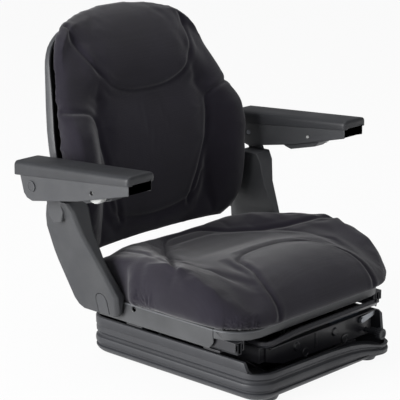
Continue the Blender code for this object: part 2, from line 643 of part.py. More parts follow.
def rods_and_glides():
    """Rods through the arms' ends, a nylon glide on each end of the two front rods, and the centre pins."""
    items = {}
    web = CHANNEL_OUTER_X
    reach = web - CHANNEL_WALL - GLIDE_GAP
    for level, height in (("upper", HIGH_PIVOT_Z), ("lower", LOW_PIVOT_Z)):
        name = f"rear_{level}_pivot_rod"
        items[name] = rod(name, (-web, PIVOT_Y, height), (web, PIVOT_Y, height), ROD_RADIUS, BARE_STEEL)
        name = f"{level}_glide_rod"
        items[name] = rod(name, (-reach, GLIDE_Y, height), (reach, GLIDE_Y, height), ROD_RADIUS, BARE_STEEL)
        for side_name, side in SIDES:
            name = f"{level}_glide_{side_name}"
            ends = (side * (reach - GLIDE_LENGTH), side * reach)
            items[name] = plate(
                name,
                circle((GLIDE_Y, height), GLIDE_RADIUS),
                (circle((GLIDE_Y, height), ROD_RADIUS + SEAT_GAP),),
                "X",
                min(ends),
                max(ends),
                GLIDE_NYLON,
            )
    middle_y, middle_z = (PIVOT_Y + GLIDE_Y) / 2, (LOW_PIVOT_Z + HIGH_PIVOT_Z) / 2
    for side_name, side in SIDES:
        name = f"centre_pin_{side_name}"
        start = side * (INNER_ARM_X - ARM_THICKNESS)
        end = side * (OUTER_ARM_X + ARM_THICKNESS)
        ends = (start, middle_y, middle_z), (end, middle_y, middle_z)
        items[name] = rod(name, *ends, ROD_RADIUS, BARE_STEEL, 12)
    return items


def damper():
    """Tube pinned to the lower frame and rod pinned to the upper one, one inside the other."""
    low = Vector((0, DAMPER_LOW_Y, DAMPER_LOW_Z))
    high = Vector((0, DAMPER_HIGH_Y, DAMPER_HIGH_Z))
    along = (high - low).normalized()
    eye_length = Vector((DAMPER_EYE_HALF, 0, 0))

    def eye(name, centre, material):
        ends = (centre.x - DAMPER_EYE_HALF, centre.x + DAMPER_EYE_HALF)
        loop = circle(centre.yz, DAMPER_EYE_RADIUS)
        bore = circle(centre.yz, DAMPER_PIN_RADIUS + SEAT_GAP, 12)
        return plate(name, loop, (bore,), "X", *ends, material)

    neck_ends = low + along * DAMPER_EYE_RADIUS * 0.8, low + along * (DAMPER_TUBE_START + 0.001)
    neck = rod("neck", *neck_ends, DAMPER_EYE_HALF * 0.8, BLACK_STEEL, 12)
    tube_end = low + along * DAMPER_TUBE_END
    tube = rod("tube", low + along * DAMPER_TUBE_START, tube_end, DAMPER_TUBE_RADIUS, BLACK_STEEL)
    tube = welded(eye("damper_tube", low, BLACK_STEEL), neck, tube)
    bore = rod(
        "bore",
        low + along * DAMPER_EYE_RADIUS * 2,
        low + along * (DAMPER_TUBE_END + 0.01),
        DAMPER_ROD_RADIUS + GLAND_GAP,
        BLACK_STEEL,
    )
    hole_ends = low - eye_length * 1.2, low + eye_length * 1.2
    pin_hole = rod("pin_hole", *hole_ends, DAMPER_PIN_RADIUS + SEAT_GAP, BLACK_STEEL, 12)
    tube = cut(tube, bore, pin_hole)
    piston_ends = low + along * DAMPER_ROD_END, high - along * DAMPER_EYE_RADIUS * 0.8
    piston = rod("piston", *piston_ends, DAMPER_ROD_RADIUS, BARE_STEEL, 12)
    piston = welded(eye("damper_piston_rod", high, BARE_STEEL), piston)
    reach = Vector((DAMPER_EYE_HALF + TURN_GAP + DAMPER_TAB, 0, 0))
    pins = [
        rod(name, centre - reach, centre + reach, DAMPER_PIN_RADIUS, BARE_STEEL, 12)
        for name, centre in (("damper_lower_pin", low), ("damper_upper_pin", high))
    ]
    return tube, piston, *pins


def spring(name, x):
    """Tension spring from a hook round the anchor bar to a hook round the arms' hook bar."""
    hook_gap = SPRING_WIRE + 0.0008

    def hook(centre_y, bar_radius, away):
        radius = bar_radius + hook_gap
        turns = arc((centre_y, SPRING_Z), radius, -90, 90, 3)
        return [(x, centre_y + (y - centre_y) * away, z) for y, z in turns]

    start = ANCHOR_Y + 3 * ANCHOR_RADIUS
    end = SPRING_BAR_Y - 4 * SPRING_BAR_RADIUS
    coils = []
    per_turn = 5
    for i in range(SPRING_TURNS * per_turn + 1):
        angle = 2 * math.pi * i / per_turn
        y = start + (end - start) * i / (SPRING_TURNS * per_turn)
        coils.append((x + SPRING_RADIUS * math.sin(angle), y, SPRING_Z + SPRING_RADIUS * math.cos(angle)))
    route = hook(ANCHOR_Y, ANCHOR_RADIUS, -1) + coils + hook(SPRING_BAR_Y, SPRING_BAR_RADIUS, 1)[::-1]
    return bent_rod(name, route, SPRING_WIRE, BARE_STEEL, 0)


def weight_adjuster():
    """Knob and spindle that turn together, and the spring anchor bar whose nut rides on the spindle."""
    front = (KNOB_X, KNOB_FRONT, SPRING_Z)
    depth = KNOB_REAR - KNOB_FRONT
    profile = [
        (0, 0.0015),
        (KNOB_RADIUS * 0.45, 0.0015),
        (KNOB_RADIUS * 0.55, 0),
        (KNOB_RADIUS - 0.001, 0),
        (KNOB_RADIUS, 0.001),
        (KNOB_RADIUS, depth * 0.45),
        (COLLAR_RADIUS, depth * 0.55),
        (COLLAR_RADIUS, depth),
        (0, depth),
    ]
    knob = turned("weight_knob", profile, front, (0, 1, 0), TUB_PLASTIC, 12)
    socket_end = KNOB_REAR - depth * 0.4
    socket_ends = (KNOB_X, socket_end, SPRING_Z), (KNOB_X, KNOB_REAR + 0.005, SPRING_Z)
    socket = rod("socket", *socket_ends, SPINDLE_RADIUS + SEAT_GAP, BARE_STEEL, 12)
    knob = cut(knob, socket)
    spindle_start = (KNOB_X, socket_end + SEAT_GAP, SPRING_Z)
    spindle_end = (KNOB_X, ANCHOR_Y + 2 * COLLAR_RADIUS + ANCHOR_RADIUS, SPRING_Z)
    spindle = rod("weight_spindle", spindle_start, spindle_end, SPINDLE_RADIUS, BARE_STEEL, 12)
    nut_half = SPINDLE_RADIUS + 0.004
    low = (KNOB_X - nut_half, ANCHOR_Y - nut_half, SPRING_Z - nut_half)
    high = (KNOB_X + nut_half, ANCHOR_Y + nut_half, SPRING_Z + nut_half)
    nut = block("nut", low, high, BLACK_STEEL)
    bar_start = (-SPRING_X - 0.012, ANCHOR_Y, SPRING_Z)
    bar_end = (KNOB_X - nut_half / 2, ANCHOR_Y, SPRING_Z)
    bar = rod("spring_anchor_bar", bar_start, bar_end, ANCHOR_RADIUS, BLACK_STEEL, 12)
    bore = rod(
        "bore",
        (KNOB_X, ANCHOR_Y - 2 * nut_half, SPRING_Z),
        (KNOB_X, ANCHOR_Y + 2 * nut_half, SPRING_Z),
        SPINDLE_RADIUS + TURN_GAP,
        BLACK_STEEL,
        12,
    )
    bar = cut(welded(bar, nut), bore)
    return knob, spindle, bar


def front_panel():
    """Pressed panel on the upper frame's front: a folded top, two bosses, a bead and a spindle hole."""
    rear = CHANNEL_FRONT - SEAT_GAP
    front = rear - PANEL_THICKNESS
    bore = circle((KNOB_X, SPRING_Z), SPINDLE_RADIUS + TURN_GAP, 12)
    outline = [
        (PANEL_LEFT, PANEL_HIGH),
        (PANEL_LEFT, HIGH_FRAME_Z),
        (0.6 * PANEL_LEFT, PANEL_LOW + 0.006),
        (KNOB_X - 3 * KNOB_RADIUS, PANEL_LOW),
        (PANEL_RIGHT - 0.004, PANEL_LOW),
        (PANEL_RIGHT, PANEL_LOW + 0.006),
        (PANEL_RIGHT, PANEL_HIGH),
    ]
    panel = plate("front_panel", outline, (bore,), "Y", front, rear, BLACK_STEEL)
    flange = block(
        "flange",
        (PANEL_LEFT, front - PANEL_FLANGE, PANEL_HIGH - PANEL_THICKNESS),
        (PANEL_RIGHT, rear - 0.001, PANEL_HIGH),
        BLACK_STEEL,
    )
    bead_x = (BOSS_LEFT_X + BOSS_RIGHT_X) / 2
    bead = block(
        "bead",
        (bead_x - BOSS_HEIGHT, front - BOSS_HEIGHT, PANEL_LOW + 0.012),
        (bead_x + BOSS_HEIGHT, front + 0.001, PANEL_HIGH - 0.006),
        BLACK_STEEL,
        0.0008,
    )
    bosses = [
        rod(
            "boss",
            (x, front + 0.001, BOSS_Z),
            (x, front - BOSS_HEIGHT, BOSS_Z),
            BOSS_RADIUS,
            BLACK_STEEL,
            12,
            BOSS_RADIUS - 0.002,
        )
        for x in (BOSS_LEFT_X, BOSS_RIGHT_X)
    ]
    return welded(panel, flange, bead, *bosses)


def height_lever():
    """Small flat lever on a headed pin in the front panel."""
    front = CHANNEL_FRONT - SEAT_GAP - PANEL_THICKNESS
    rear = front - SEAT_GAP
    pivot = (LEVER_PIVOT_X, LEVER_PIVOT_Z)
    outline = link(pivot, (LEVER_TIP_X, LEVER_TIP_Z), 0.0075, 0.0045)
    bore = circle(pivot, LEVER_PIN_RADIUS + SEAT_GAP, 12)
    lever = plate("height_lever", outline, (bore,), "Y", rear - LEVER_THICKNESS, rear, BARE_STEEL)
    head = rear - LEVER_THICKNESS - SEAT_GAP
    profile = [
        (0, 0),
        (LEVER_PIN_RADIUS + 0.0025, 0),
        (LEVER_PIN_RADIUS + 0.0025, 0.002),
        (LEVER_PIN_RADIUS, 0.002),
        (LEVER_PIN_RADIUS, front - SEAT_GAP - (head - 0.002)),
        (0, front - SEAT_GAP - (head - 0.002)),
    ]
    pin = turned("height_lever_pin", profile, (pivot[0], head - 0.002, pivot[1]), (0, 1, 0), BARE_STEEL, 12)
    return lever, pin


# Slide rails and seat pan

def lower_rail(name, side):
    """Fixed rail: an open channel with lips turned out along its top."""
    foot, lip, sheet = UPPER_RAIL_HALF - 0.0065, UPPER_RAIL_HALF - 0.003, RAIL_SHEET
    top = LOWER_RAIL_HEIGHT
    half = [(foot, 0), (foot, top - sheet), (lip, top - sheet), (lip, top)]
    half += [(foot - sheet, top), (foot - sheet, sheet)]
    section = half + [(-x, z) for x, z in reversed(half)]
    loop = [(side * RAIL_X + x, LOWER_RAIL_Z + z) for x, z in section]
    return plate(name, loop, (), "Y", RAIL_FRONT, RAIL_REAR, BARE_STEEL)


def upper_rail(name, side):
    """Moving rail: a hood over the fixed rail, with lips turned in under the fixed rail's lips."""
    half, sheet = UPPER_RAIL_HALF, RAIL_SHEET
    lip = half - sheet - 0.0028
    bottom = UPPER_RAIL_TOP - sheet - UPPER_RAIL_SKIRT
    outside = [(half, 0), (half, UPPER_RAIL_SKIRT + sheet)]
    inside = [(lip, 0), (lip, sheet), (half - sheet, sheet), (half - sheet, UPPER_RAIL_SKIRT)]
    section = outside + [(-x, z) for x, z in reversed(outside)]
    section += [(-x, z) for x, z in inside] + inside[::-1]
    loop = [(side * RAIL_X + x, bottom + z) for x, z in section]
    return plate(name, loop, (), "Y", RAIL_FRONT, RAIL_REAR, PAN_STEEL)


def seat_pan():
    """Pressed pan with an upturned rim, side skirts over the rails and tabs for the slide handle."""
    outer = rounded_rectangle(PAN_HALF_WIDTH, PAN_FRONT, PAN_REAR, PAN_CORNER, 4, PAN_REAR_CORNER)
    inner = rounded_rectangle(
        PAN_HALF_WIDTH - PAN_WALL,
        PAN_FRONT + PAN_WALL,
        PAN_REAR - PAN_WALL,
        PAN_CORNER - PAN_WALL,
        4,
        PAN_REAR_CORNER - PAN_WALL,
    )
    floor = PAN_FLOOR_Z + PAN_WALL
    levels = ((outer, PAN_FLOOR_Z), (outer, PAN_TOP), (inner, PAN_TOP), (inner, floor))
    pan = skin("seat_pan", [[(x, y, z) for x, y in loop] for loop, z in levels], PAN_STEEL)
    skirts = []
    for side in (1, -1):
        outline = [
            (SKIRT_FRONT, PAN_TOP - 0.001),
            (SKIRT_FRONT, SKIRT_BOTTOM + 0.012),
            (SKIRT_FRONT + 0.010, SKIRT_BOTTOM),
            (SKIRT_REAR, SKIRT_BOTTOM),
            (SKIRT_REAR, PAN_TOP - 0.001),
        ]
        ends = sorted((side * (SKIRT_X - PAN_WALL), side * SKIRT_X))
        skirts.append(plate("skirt", outline, (), "X", *ends, PAN_STEEL))
    tabs = []
    for x in (HANDLE_LEFT_X, HANDLE_RIGHT_X):
        for side in (1, -1):
            start = x + side * (HANDLE_EYE_HALF + TURN_GAP)
            ends = sorted((start, start + side * HANDLE_TAB))
            root = PAN_FLOOR_Z + PAN_WALL / 3
            tab = [(HANDLE_PIVOT_Y + HANDLE_EYE_RADIUS, root), (HANDLE_PIVOT_Y - HANDLE_EYE_RADIUS, root)]
            tab += arc((HANDLE_PIVOT_Y, HANDLE_PIVOT_Z), HANDLE_EYE_RADIUS, 180, 360, 4)
            bore = circle((HANDLE_PIVOT_Y, HANDLE_PIVOT_Z), HANDLE_PIN_RADIUS + SEAT_GAP, 8)
            tabs.append(plate("tab", tab, (bore,), "X", *ends, PAN_STEEL))
    pan = welded(pan, *skirts, *tabs)
    drills = [
        rod(
            "drill",
            (side * (PAN_HALF_WIDTH - 2 * PAN_WALL), SKIRT_HOLE_Y, SKIRT_HOLE_Z),
            (side * (PAN_HALF_WIDTH + PAN_WALL), SKIRT_HOLE_Y, SKIRT_HOLE_Z),
            SKIRT_HOLE_RADIUS,
            PAN_STEEL,
            12,
        )
        for side in (1, -1)
    ]
    return cut(pan, *drills)


def slide_handle():
    """Towel-bar handle under the pan's front edge, bent down at one side, with an eye at each end."""
    route = [
        (HANDLE_LEFT_X, HANDLE_PIVOT_Y, HANDLE_PIVOT_Z),
        (HANDLE_LEFT_X, HANDLE_BEND_Y, HANDLE_LOW_Z),
        (HANDLE_SLOPE_X, HANDLE_FRONT, HANDLE_HIGH_Z),
        (HANDLE_RIGHT_X - HANDLE_RIGHT_SHIFT, HANDLE_FRONT, HANDLE_HIGH_Z),
        (HANDLE_RIGHT_X, HANDLE_BEND_Y, HANDLE_LOW_Z + HANDLE_RIGHT_RISE),
        (HANDLE_RIGHT_X, HANDLE_PIVOT_Y, HANDLE_PIVOT_Z),
    ]
    bar = bent_rod("slide_handle", filleted(route, HANDLE_TURN, 2), HANDLE_RADIUS, BLACK_STEEL, 1)
    eyes = []
    for x in (HANDLE_LEFT_X, HANDLE_RIGHT_X):
        ends = (x - HANDLE_EYE_HALF, x + HANDLE_EYE_HALF)
        loop = circle((HANDLE_PIVOT_Y, HANDLE_PIVOT_Z), HANDLE_EYE_RADIUS, 10)
        eyes.append(plate("eye", loop, (), "X", *ends, BLACK_STEEL))
    bar = welded(bar, *eyes)
    trims, pins = [], []
    reach = HANDLE_EYE_HALF + TURN_GAP + HANDLE_TAB
    for side_name, x in (("right", HANDLE_LEFT_X), ("left", HANDLE_RIGHT_X)):
        for side in (1, -1):
            edge = x + side * HANDLE_EYE_HALF
            ends = sorted((edge, edge + side * 2 * HANDLE_RADIUS))
            low = (ends[0], HANDLE_PIVOT_Y - HANDLE_EYE_RADIUS - TURN_GAP, HANDLE_PIVOT_Z - 0.02)
            high = (ends[1], HANDLE_PIVOT_Y + 0.02, HANDLE_PIVOT_Z + 0.02)
            trims.append(block("trim", low, high, BLACK_STEEL))
        start, end = (x - reach, HANDLE_PIVOT_Y, HANDLE_PIVOT_Z), (x + reach, HANDLE_PIVOT_Y, HANDLE_PIVOT_Z)
        bore_start = (x - 2 * reach, HANDLE_PIVOT_Y, HANDLE_PIVOT_Z)
        bore_end = (x + 2 * reach, HANDLE_PIVOT_Y, HANDLE_PIVOT_Z)
        trims.append(rod("bore", bore_start, bore_end, HANDLE_PIN_RADIUS + SEAT_GAP, BLACK_STEEL, 8))
        pins.append(rod(f"handle_pin_{side_name}", start, end, HANDLE_PIN_RADIUS, BARE_STEEL, 8))
    return cut(bar, *trims), pins


# Cushions

def cushion_outline():
    """Plan outline of the seat cushion at its widest, with stations along its sides, front and rear."""
    corners = rounded_rectangle(
        CUSHION_HALF_WIDTH, CUSHION_FRONT, CUSHION_REAR, CUSHION_CORNER, 4, REAR_CORNER
    )
    front_right, rear_right, rear_left, front_left = (corners[i : i + 5] for i in range(0, 20, 5))
    steps = (0.255, 0.205, 0.160, 0.127, 0.115, 0.103, 0.093)
    length = CUSHION_REAR - CUSHION_FRONT
    side = [(CUSHION_HALF_WIDTH, CUSHION_REAR - length * step / 0.397) for step in steps]
    rear = [(x * PANEL_SEAM_X, CUSHION_REAR) for x in (1, 0.5, 0, -0.5, -1)]
    front = [(-x * 0.9, CUSHION_FRONT) for x, _ in rear]
    other_side = [(-x, y) for x, y in reversed(side)]
    return front_right + side + rear_right + rear + rear_left + other_side + front_left + front


def cushion_ring(loop, share, height):
    """Outline drawn in by share, and narrowed between the brackets; height is a level or a rule for one."""
    middle = (CUSHION_FRONT + CUSHION_REAR) / 2
    narrowing = CUSHION_HALF_WIDTH - CUSHION_REAR_HALF
    ring = []
    for x, y in loop:
        y = middle + (y - middle) * share
        waist = CUSHION_HALF_WIDTH - narrowing * smooth(NECK_REAR - NECK_LENGTH, NECK_REAR, y)
        x = math.copysign(min(abs(x * share), waist), x)
        ring.append((x, y, height(x, y) if callable(height) else height))
    return ring


def cushion_height(x, y):
    """Height of the cushion's upper face: two side bolsters, a dished middle and a raised front panel."""
    length = CUSHION_REAR - CUSHION_FRONT
    along = (y - CUSHION_FRONT) / length
    bolster = math.exp(-(((abs(x) - BOLSTER_X) / BOLSTER_WIDTH) ** 2)) * smooth(0.0, 0.45, along)
    dish = -DISH_DEPTH * math.cos(min(abs(x) / BOLSTER_X, 1) * math.pi / 2) * smooth(0.30, 0.55, along)
    half_seam = PANEL_SEAM_WIDTH / 2
    across = 1 - smooth(PANEL_SEAM_X - half_seam, PANEL_SEAM_X + half_seam, abs(x))
    front = THIGH_RISE * (1 - smooth(0.40, 0.58, along)) * across
    nose = -NOSE_DROP * (1 - smooth(0.0, 0.28, along)) ** 2
    return CUSHION_TOP_Z + BOLSTER_HEIGHT * bolster + dish + front + nose


def seat_cushion():
    """Upholstered foam: a plug inside the pan's rim and a crowned body that swells over it."""
    plug_inset = PAN_WALL + 0.002
    outline = cushion_outline()
    foot = PAN_FLOOR_Z + PAN_WALL + SEAT_GAP
    rim = PAN_TOP + CUSHION_RIM_GAP
    plug_share = (PAN_HALF_WIDTH - plug_inset) / CUSHION_HALF_WIDTH
    plug_front, plug_rear = PAN_FRONT + plug_inset, PAN_REAR - plug_inset
    length_share = (plug_rear - plug_front) / (CUSHION_REAR - CUSHION_FRONT)
    plug_ring = [(x * plug_share, plug_front + (y - CUSHION_FRONT) * length_share) for x, y in outline]
    rings = [[(x, y, foot) for x, y in plug_ring], [(x, y, rim) for x, y in plug_ring]]
    for share, height in ((0.955, rim), (0.99, rim + 0.006), (1.0, CUSHION_EDGE_Z)):
        rings.append(cushion_ring(outline, share, height))
    for share, drop in CUSHION_CROWN:
        level = cushion_ring(outline, share, cushion_height)
        rings.append([(x, y, CUSHION_EDGE_Z + (z - CUSHION_EDGE_Z) * (1 - drop)) for x, y, z in level])
    return skin("seat_cushion", rings, FABRIC)


def back_half_width(z):
    """Half width of the backrest: round lower corners, straight sides, a taper and a domed top."""
    if z < BACK_BOTTOM + BACK_FOOT:
        drop = BACK_BOTTOM + BACK_FOOT - z
        return BACK_HALF_WIDTH - BACK_WAIST - BACK_FOOT + math.sqrt(max(BACK_FOOT**2 - drop**2, 0))
    taper_start, taper_end = BACK_TOP - BACK_TAPER, BACK_TOP - BACK_DOME
    upper = BACK_HALF_WIDTH - BACK_NARROWING
    if z < taper_start:
        return BACK_HALF_WIDTH - BACK_WAIST * (1 - smooth(BRACKET_TOP + 0.005, BRACKET_TOP + 0.080, z))
    if z < taper_end:
        t = (z - taper_start) / (taper_end - taper_start)
        notch = NOTCH_DEPTH * math.exp(-(((z - BACK_TOP + NOTCH_DROP) / NOTCH_WIDTH) ** 2))
        return BACK_HALF_WIDTH + (upper - BACK_HALF_WIDTH) * t**1.25 - notch
    t = (z - taper_end) / (BACK_TOP - taper_end)
    return upper * math.sqrt(max(1 - t**2.4, 0))


BACK_EDGE = (
    (0.215, 0.246), (0.240, 0.236), (0.300, 0.226), (0.370, 0.226), (0.435, 0.245), (0.475, 0.270),
    (0.525, 0.292), (0.585, 0.328), (0.648, 0.350),
)
BACK_MIDDLE = (
    (0.207, 0.258), (0.250, 0.249), (0.300, 0.241), (0.370, 0.238), (0.430, 0.247), (0.478, 0.266),
    (0.520, 0.264), (0.560, 0.279), (0.610, 0.312), (0.648, 0.345),
)

BACK_CROWN = (
    (0.998, 0.80), (0.975, 0.30), (0.93, 0.06), (0.84, 0), (0.70, 0), (0.54, 0), (0.34, 0), (0.14, 0),
)


def back_front(x, z):
    """Front face of the backrest: a middle panel, a groove each side and bolsters that come forward."""
    width = max(back_half_width(z), 0.01)
    across = min(abs(x) / width, 1)
    edge, middle = between(BACK_EDGE, z), between(BACK_MIDDLE, z)
    bolster = smooth(0.60, 0.85, across)
    crown = -0.010 * math.sin(math.pi * min(max((across - 0.6) / 0.4, 0), 1))
    return middle + (edge - middle) * bolster + crown + 0.006 * smooth(0.50, 0.60, across) * (1 - bolster)


def back_rear(x, z):
    """Rear face of the backrest shell, bowed back in the middle."""
    return BACK_REAR_Y + BACK_LEAN * (z - BACK_BOTTOM) - BACK_BUCKET * (x / BACK_HALF_WIDTH) ** 2


def shell_strip(z):
    """Width of the shell's side strip at a height."""
    return SHELL_STRIP - 0.014 * smooth(0.46, 0.60, z)


def back_outline(share, steps=32):
    """Loop of (x, z) round the backrest, drawn in towards its middle by share."""
    middle = (BACK_BOTTOM + BACK_TOP) / 2
    half = (BACK_TOP - BACK_BOTTOM) / 2
    loop = []
    for i in range(steps):
        angle = 2 * math.pi * (i + 0.5) / steps
        rise = math.sin(angle)
        z = middle + half * math.copysign(abs(rise) ** 0.9, rise)
        width = back_half_width(z)
        corner = BACK_HALF_WIDTH - BACK_FOOT if z < BACK_BOTTOM + 0.0005 else width
        x = math.copysign(min(width, corner), math.cos(angle))
        loop.append((x * share, middle + (z - middle) * share))
    return loop


def backrest_shell():
    """Moulded rear shell: a bowed back with walls that come forward round the cushion, open to the front."""
    rings = []
    for share in (0.30, 0.62, 0.95):
        rings.append([(x, back_rear(x, z), z) for x, z in back_outline(share)])
    rings.append([(x, back_rear(x, z) - 0.008, z) for x, z in back_outline(1.0)])
    rings.append([(x, back_rear(x, z) - shell_strip(z), z) for x, z in back_outline(1.0)])
    inner = 1 - 1.2 * SHELL_WALL / BACK_HALF_WIDTH
    rings.append([(x, back_rear(x, z) - shell_strip(z), z) for x, z in back_outline(inner)])
    rings.append([(x, back_rear(x, z) - 0.008 - SHELL_WALL, z) for x, z in back_outline(inner)])
    for share in (0.92, 0.62, 0.30):
        rings.append([(x, back_rear(x, z) - SHELL_WALL, z) for x, z in back_outline(share)])
    shell = skin("backrest_shell", rings, COVER_PLASTIC)
    reach = BACK_HALF_WIDTH * 1.1
    slot_ends = (-reach, FRAME_LOW_Y, FRAME_LOW_Z), (reach, FRAME_LOW_Y, FRAME_LOW_Z)
    slot = rod("slot", *slot_ends, FRAME_TUBE_RADIUS + 0.001, COVER_PLASTIC, 12)
    return cut(shell, slot)


def backrest_cushion():
    """Upholstered foam that fills the shell's opening and swells forward of it."""
    seat = 1 - 1.2 * SHELL_WALL / BACK_HALF_WIDTH - 0.003
    rings = []
    for share, depth in ((0.30, 0.036), (0.70, 0.036), (seat - 0.03, 0.034)):
        rings.append([(x, back_rear(x, z) - depth, z) for x, z in back_outline(share)])
    rings.append([(x, back_rear(x, z) - min(0.030, shell_strip(z)), z) for x, z in back_outline(seat)])
    rings.append([(x, back_rear(x, z) - shell_strip(z) - 0.001, z) for x, z in back_outline(seat)])
    for share, sink in BACK_CROWN:
        ring = []
        for x, z in back_outline(share):
            front = back_front(x, z)
            seam = back_rear(x, z) - shell_strip(z) - 0.002
            ring.append((x, min(front + sink * (seam - front), seam), z))
        rings.append(ring)
    return skin("backrest_cushion", rings, FABRIC)


def backrest_frame():
    """Bent tube behind the cushion, from one bracket's ear up inside the shell and down to the other."""
    ends = BRACKET_UPPER_INNER_X - SEAT_GAP, BACK_HALF_WIDTH - FRAME_END_INSET
    half = [(x, FRAME_LOW_Y, FRAME_LOW_Z) for x in ends]
    for x, z in ((FRAME_LOW_X, FRAME_LOW_Z), (FRAME_HIGH_X, FRAME_HIGH_Z), (FRAME_HIGH_X / 2, FRAME_HIGH_Z)):
        half.append((x, back_rear(x, z) - FRAME_DEPTH, z))
    top = (0, back_rear(0, FRAME_HIGH_Z) - FRAME_DEPTH, FRAME_HIGH_Z)
    route = half + [top] + [(-x, y, z) for x, y, z in reversed(half)]
    return bent_rod("backrest_frame", filleted(route, 0.012, 1), FRAME_TUBE_RADIUS, BLACK_STEEL, 1)


# Brackets, armrests and recline

BRACKET_FRONT = (
    (0.104, 0.130), (0.110, 0.121), (0.146, 0.115), (0.174, 0.128), (0.215, 0.149), (0.263, 0.175),
    (0.305, 0.186), (0.321, 0.197),
)
BRACKET_BACK = (
    (0.104, 0.215), (0.110, 0.228), (0.122, 0.238), (0.149, 0.247), (0.195, 0.262), (0.243, 0.274),
    (0.275, 0.273), (0.305, 0.262), (0.321, 0.247),
)
BRACKET_LEVELS = (0.104, 0.110, 0.122, 0.146, 0.195, 0.215, 0.263, 0.285, 0.305, 0.321)


def side_bracket(name, side):
    """Flared bracket: a cover that widens as it rises, with a lug for the armrest on its top."""
    rings = []
    for level in BRACKET_LEVELS:
        z = BRACKET_BOTTOM + (level - BRACKET_LEVELS[0]) * (BRACKET_TOP - BRACKET_BOTTOM) / (
            BRACKET_LEVELS[-1] - BRACKET_LEVELS[0]
        )
        rise = (z - BRACKET_BOTTOM) / (BRACKET_TOP - BRACKET_BOTTOM)
        inner = BRACKET_INNER_X + (BRACKET_UPPER_INNER_X - BRACKET_INNER_X) * smooth(0.2, 0.52, rise)
        outer = bracket_outer(z)
        front, rear = between(BRACKET_FRONT, level), between(BRACKET_BACK, level)
        round_off = min(0.006, (outer - inner) * 0.4)
        loop = [
            (inner, front + 0.001),
            (inner + 0.001, front),
            (outer - round_off, front),
            (outer, front + round_off),
            (outer, rear - round_off),
            (outer - round_off, rear),
            (inner + 0.001, rear),
            (inner, rear - 0.001),
        ]
        rings.append([(side * x, y, z) for x, y in loop])
    bracket = skin(name, rings, COVER_PLASTIC)
    pivot = (ARMREST_PIVOT_Y, ARMREST_PIVOT_Z)
    lug_half = ARMREST_LUG_THICKNESS / 2
    lug = plate(
        "lug",
        link((ARMREST_PIVOT_Y - 0.018, BRACKET_TOP - 0.025), pivot, 0.020, ARMREST_LUG_RADIUS),
        (circle(pivot, ARMREST_PIN_RADIUS + SEAT_GAP, 12),),
        "X",
        side * ARMREST_LUG_X - lug_half,
        side * ARMREST_LUG_X + lug_half,
        COVER_PLASTIC,
    )
    bracket = welded(bracket, lug)
    stub = rod(
        "stub",
        (side * (BRACKET_INNER_X - 0.002), RECLINE_Y, RECLINE_Z),
        (side * (BRACKET_INNER_X + RECLINE_STUB_LENGTH + 0.001), RECLINE_Y, RECLINE_Z),
        RECLINE_STUB_RADIUS + TURN_GAP,
        COVER_PLASTIC,
        14,
    )
    recess = tongue("recess", side, COVER_GAP, 0.002, -COVER_THICKNESS - SEAT_GAP, COVER_PLASTIC)
    return cut(bracket, stub, recess)


def bracket_outer(z):
    """How far out a bracket's outer face lies at a height."""
    rise = (z - BRACKET_BOTTOM) / (BRACKET_TOP - BRACKET_BOTTOM)
    return BRACKET_OUTER_X + (BRACKET_UPPER_OUTER_X - BRACKET_OUTER_X) * rise


def tongue(name, side, grow, top, depth, material):
    """Prism with a round top that follows the bracket's sloping outer face, from its foot up."""
    half = COVER_WIDTH / 2 + grow
    head = COVER_TOP + grow - half
    foot = BRACKET_BOTTOM + (0.003 if grow == 0 else -0.004)
    loop = [(COVER_Y - half, foot), (COVER_Y + half, foot)] + arc((COVER_Y, head), half, 0, 180, 8)
    rings = []
    for out in (depth, top):
        rings.append([(side * (bracket_outer(z) + out), y, z) for y, z in loop])
    return skin(name, rings, material)


def hinge_cover(name, side):
    """Moulded tongue over the recline hinge, flush with the bracket's outer face."""
    return tongue(name, side, 0, 0, -COVER_THICKNESS, COVER_PLASTIC)


def recline_hinge(name, side):
    """Round hinge plate on the pan's skirt, with a stub that turns in the bracket's bore."""
    profile = [
        (0, 0),
        (RECLINER_RADIUS, 0),
        (RECLINER_RADIUS, RECLINER_THICKNESS),
        (RECLINE_STUB_RADIUS, RECLINER_THICKNESS),
        (RECLINE_STUB_RADIUS, RECLINER_THICKNESS + RECLINE_STUB_LENGTH),
        (0, RECLINER_THICKNESS + RECLINE_STUB_LENGTH),
    ]
    foot = (side * (SKIRT_X + SEAT_GAP), RECLINE_Y, RECLINE_Z)
    return turned(name, profile, foot, (side, 0, 0), BARE_STEEL)


def armrest_top(y):
    """Height of the pad's upper face along the armrest."""
    share = (y - ARMREST_FRONT) / (ARMREST_REAR - ARMREST_FRONT)
    return ARMREST_FRONT_TOP + (ARMREST_REAR_TOP - ARMREST_FRONT_TOP) * share


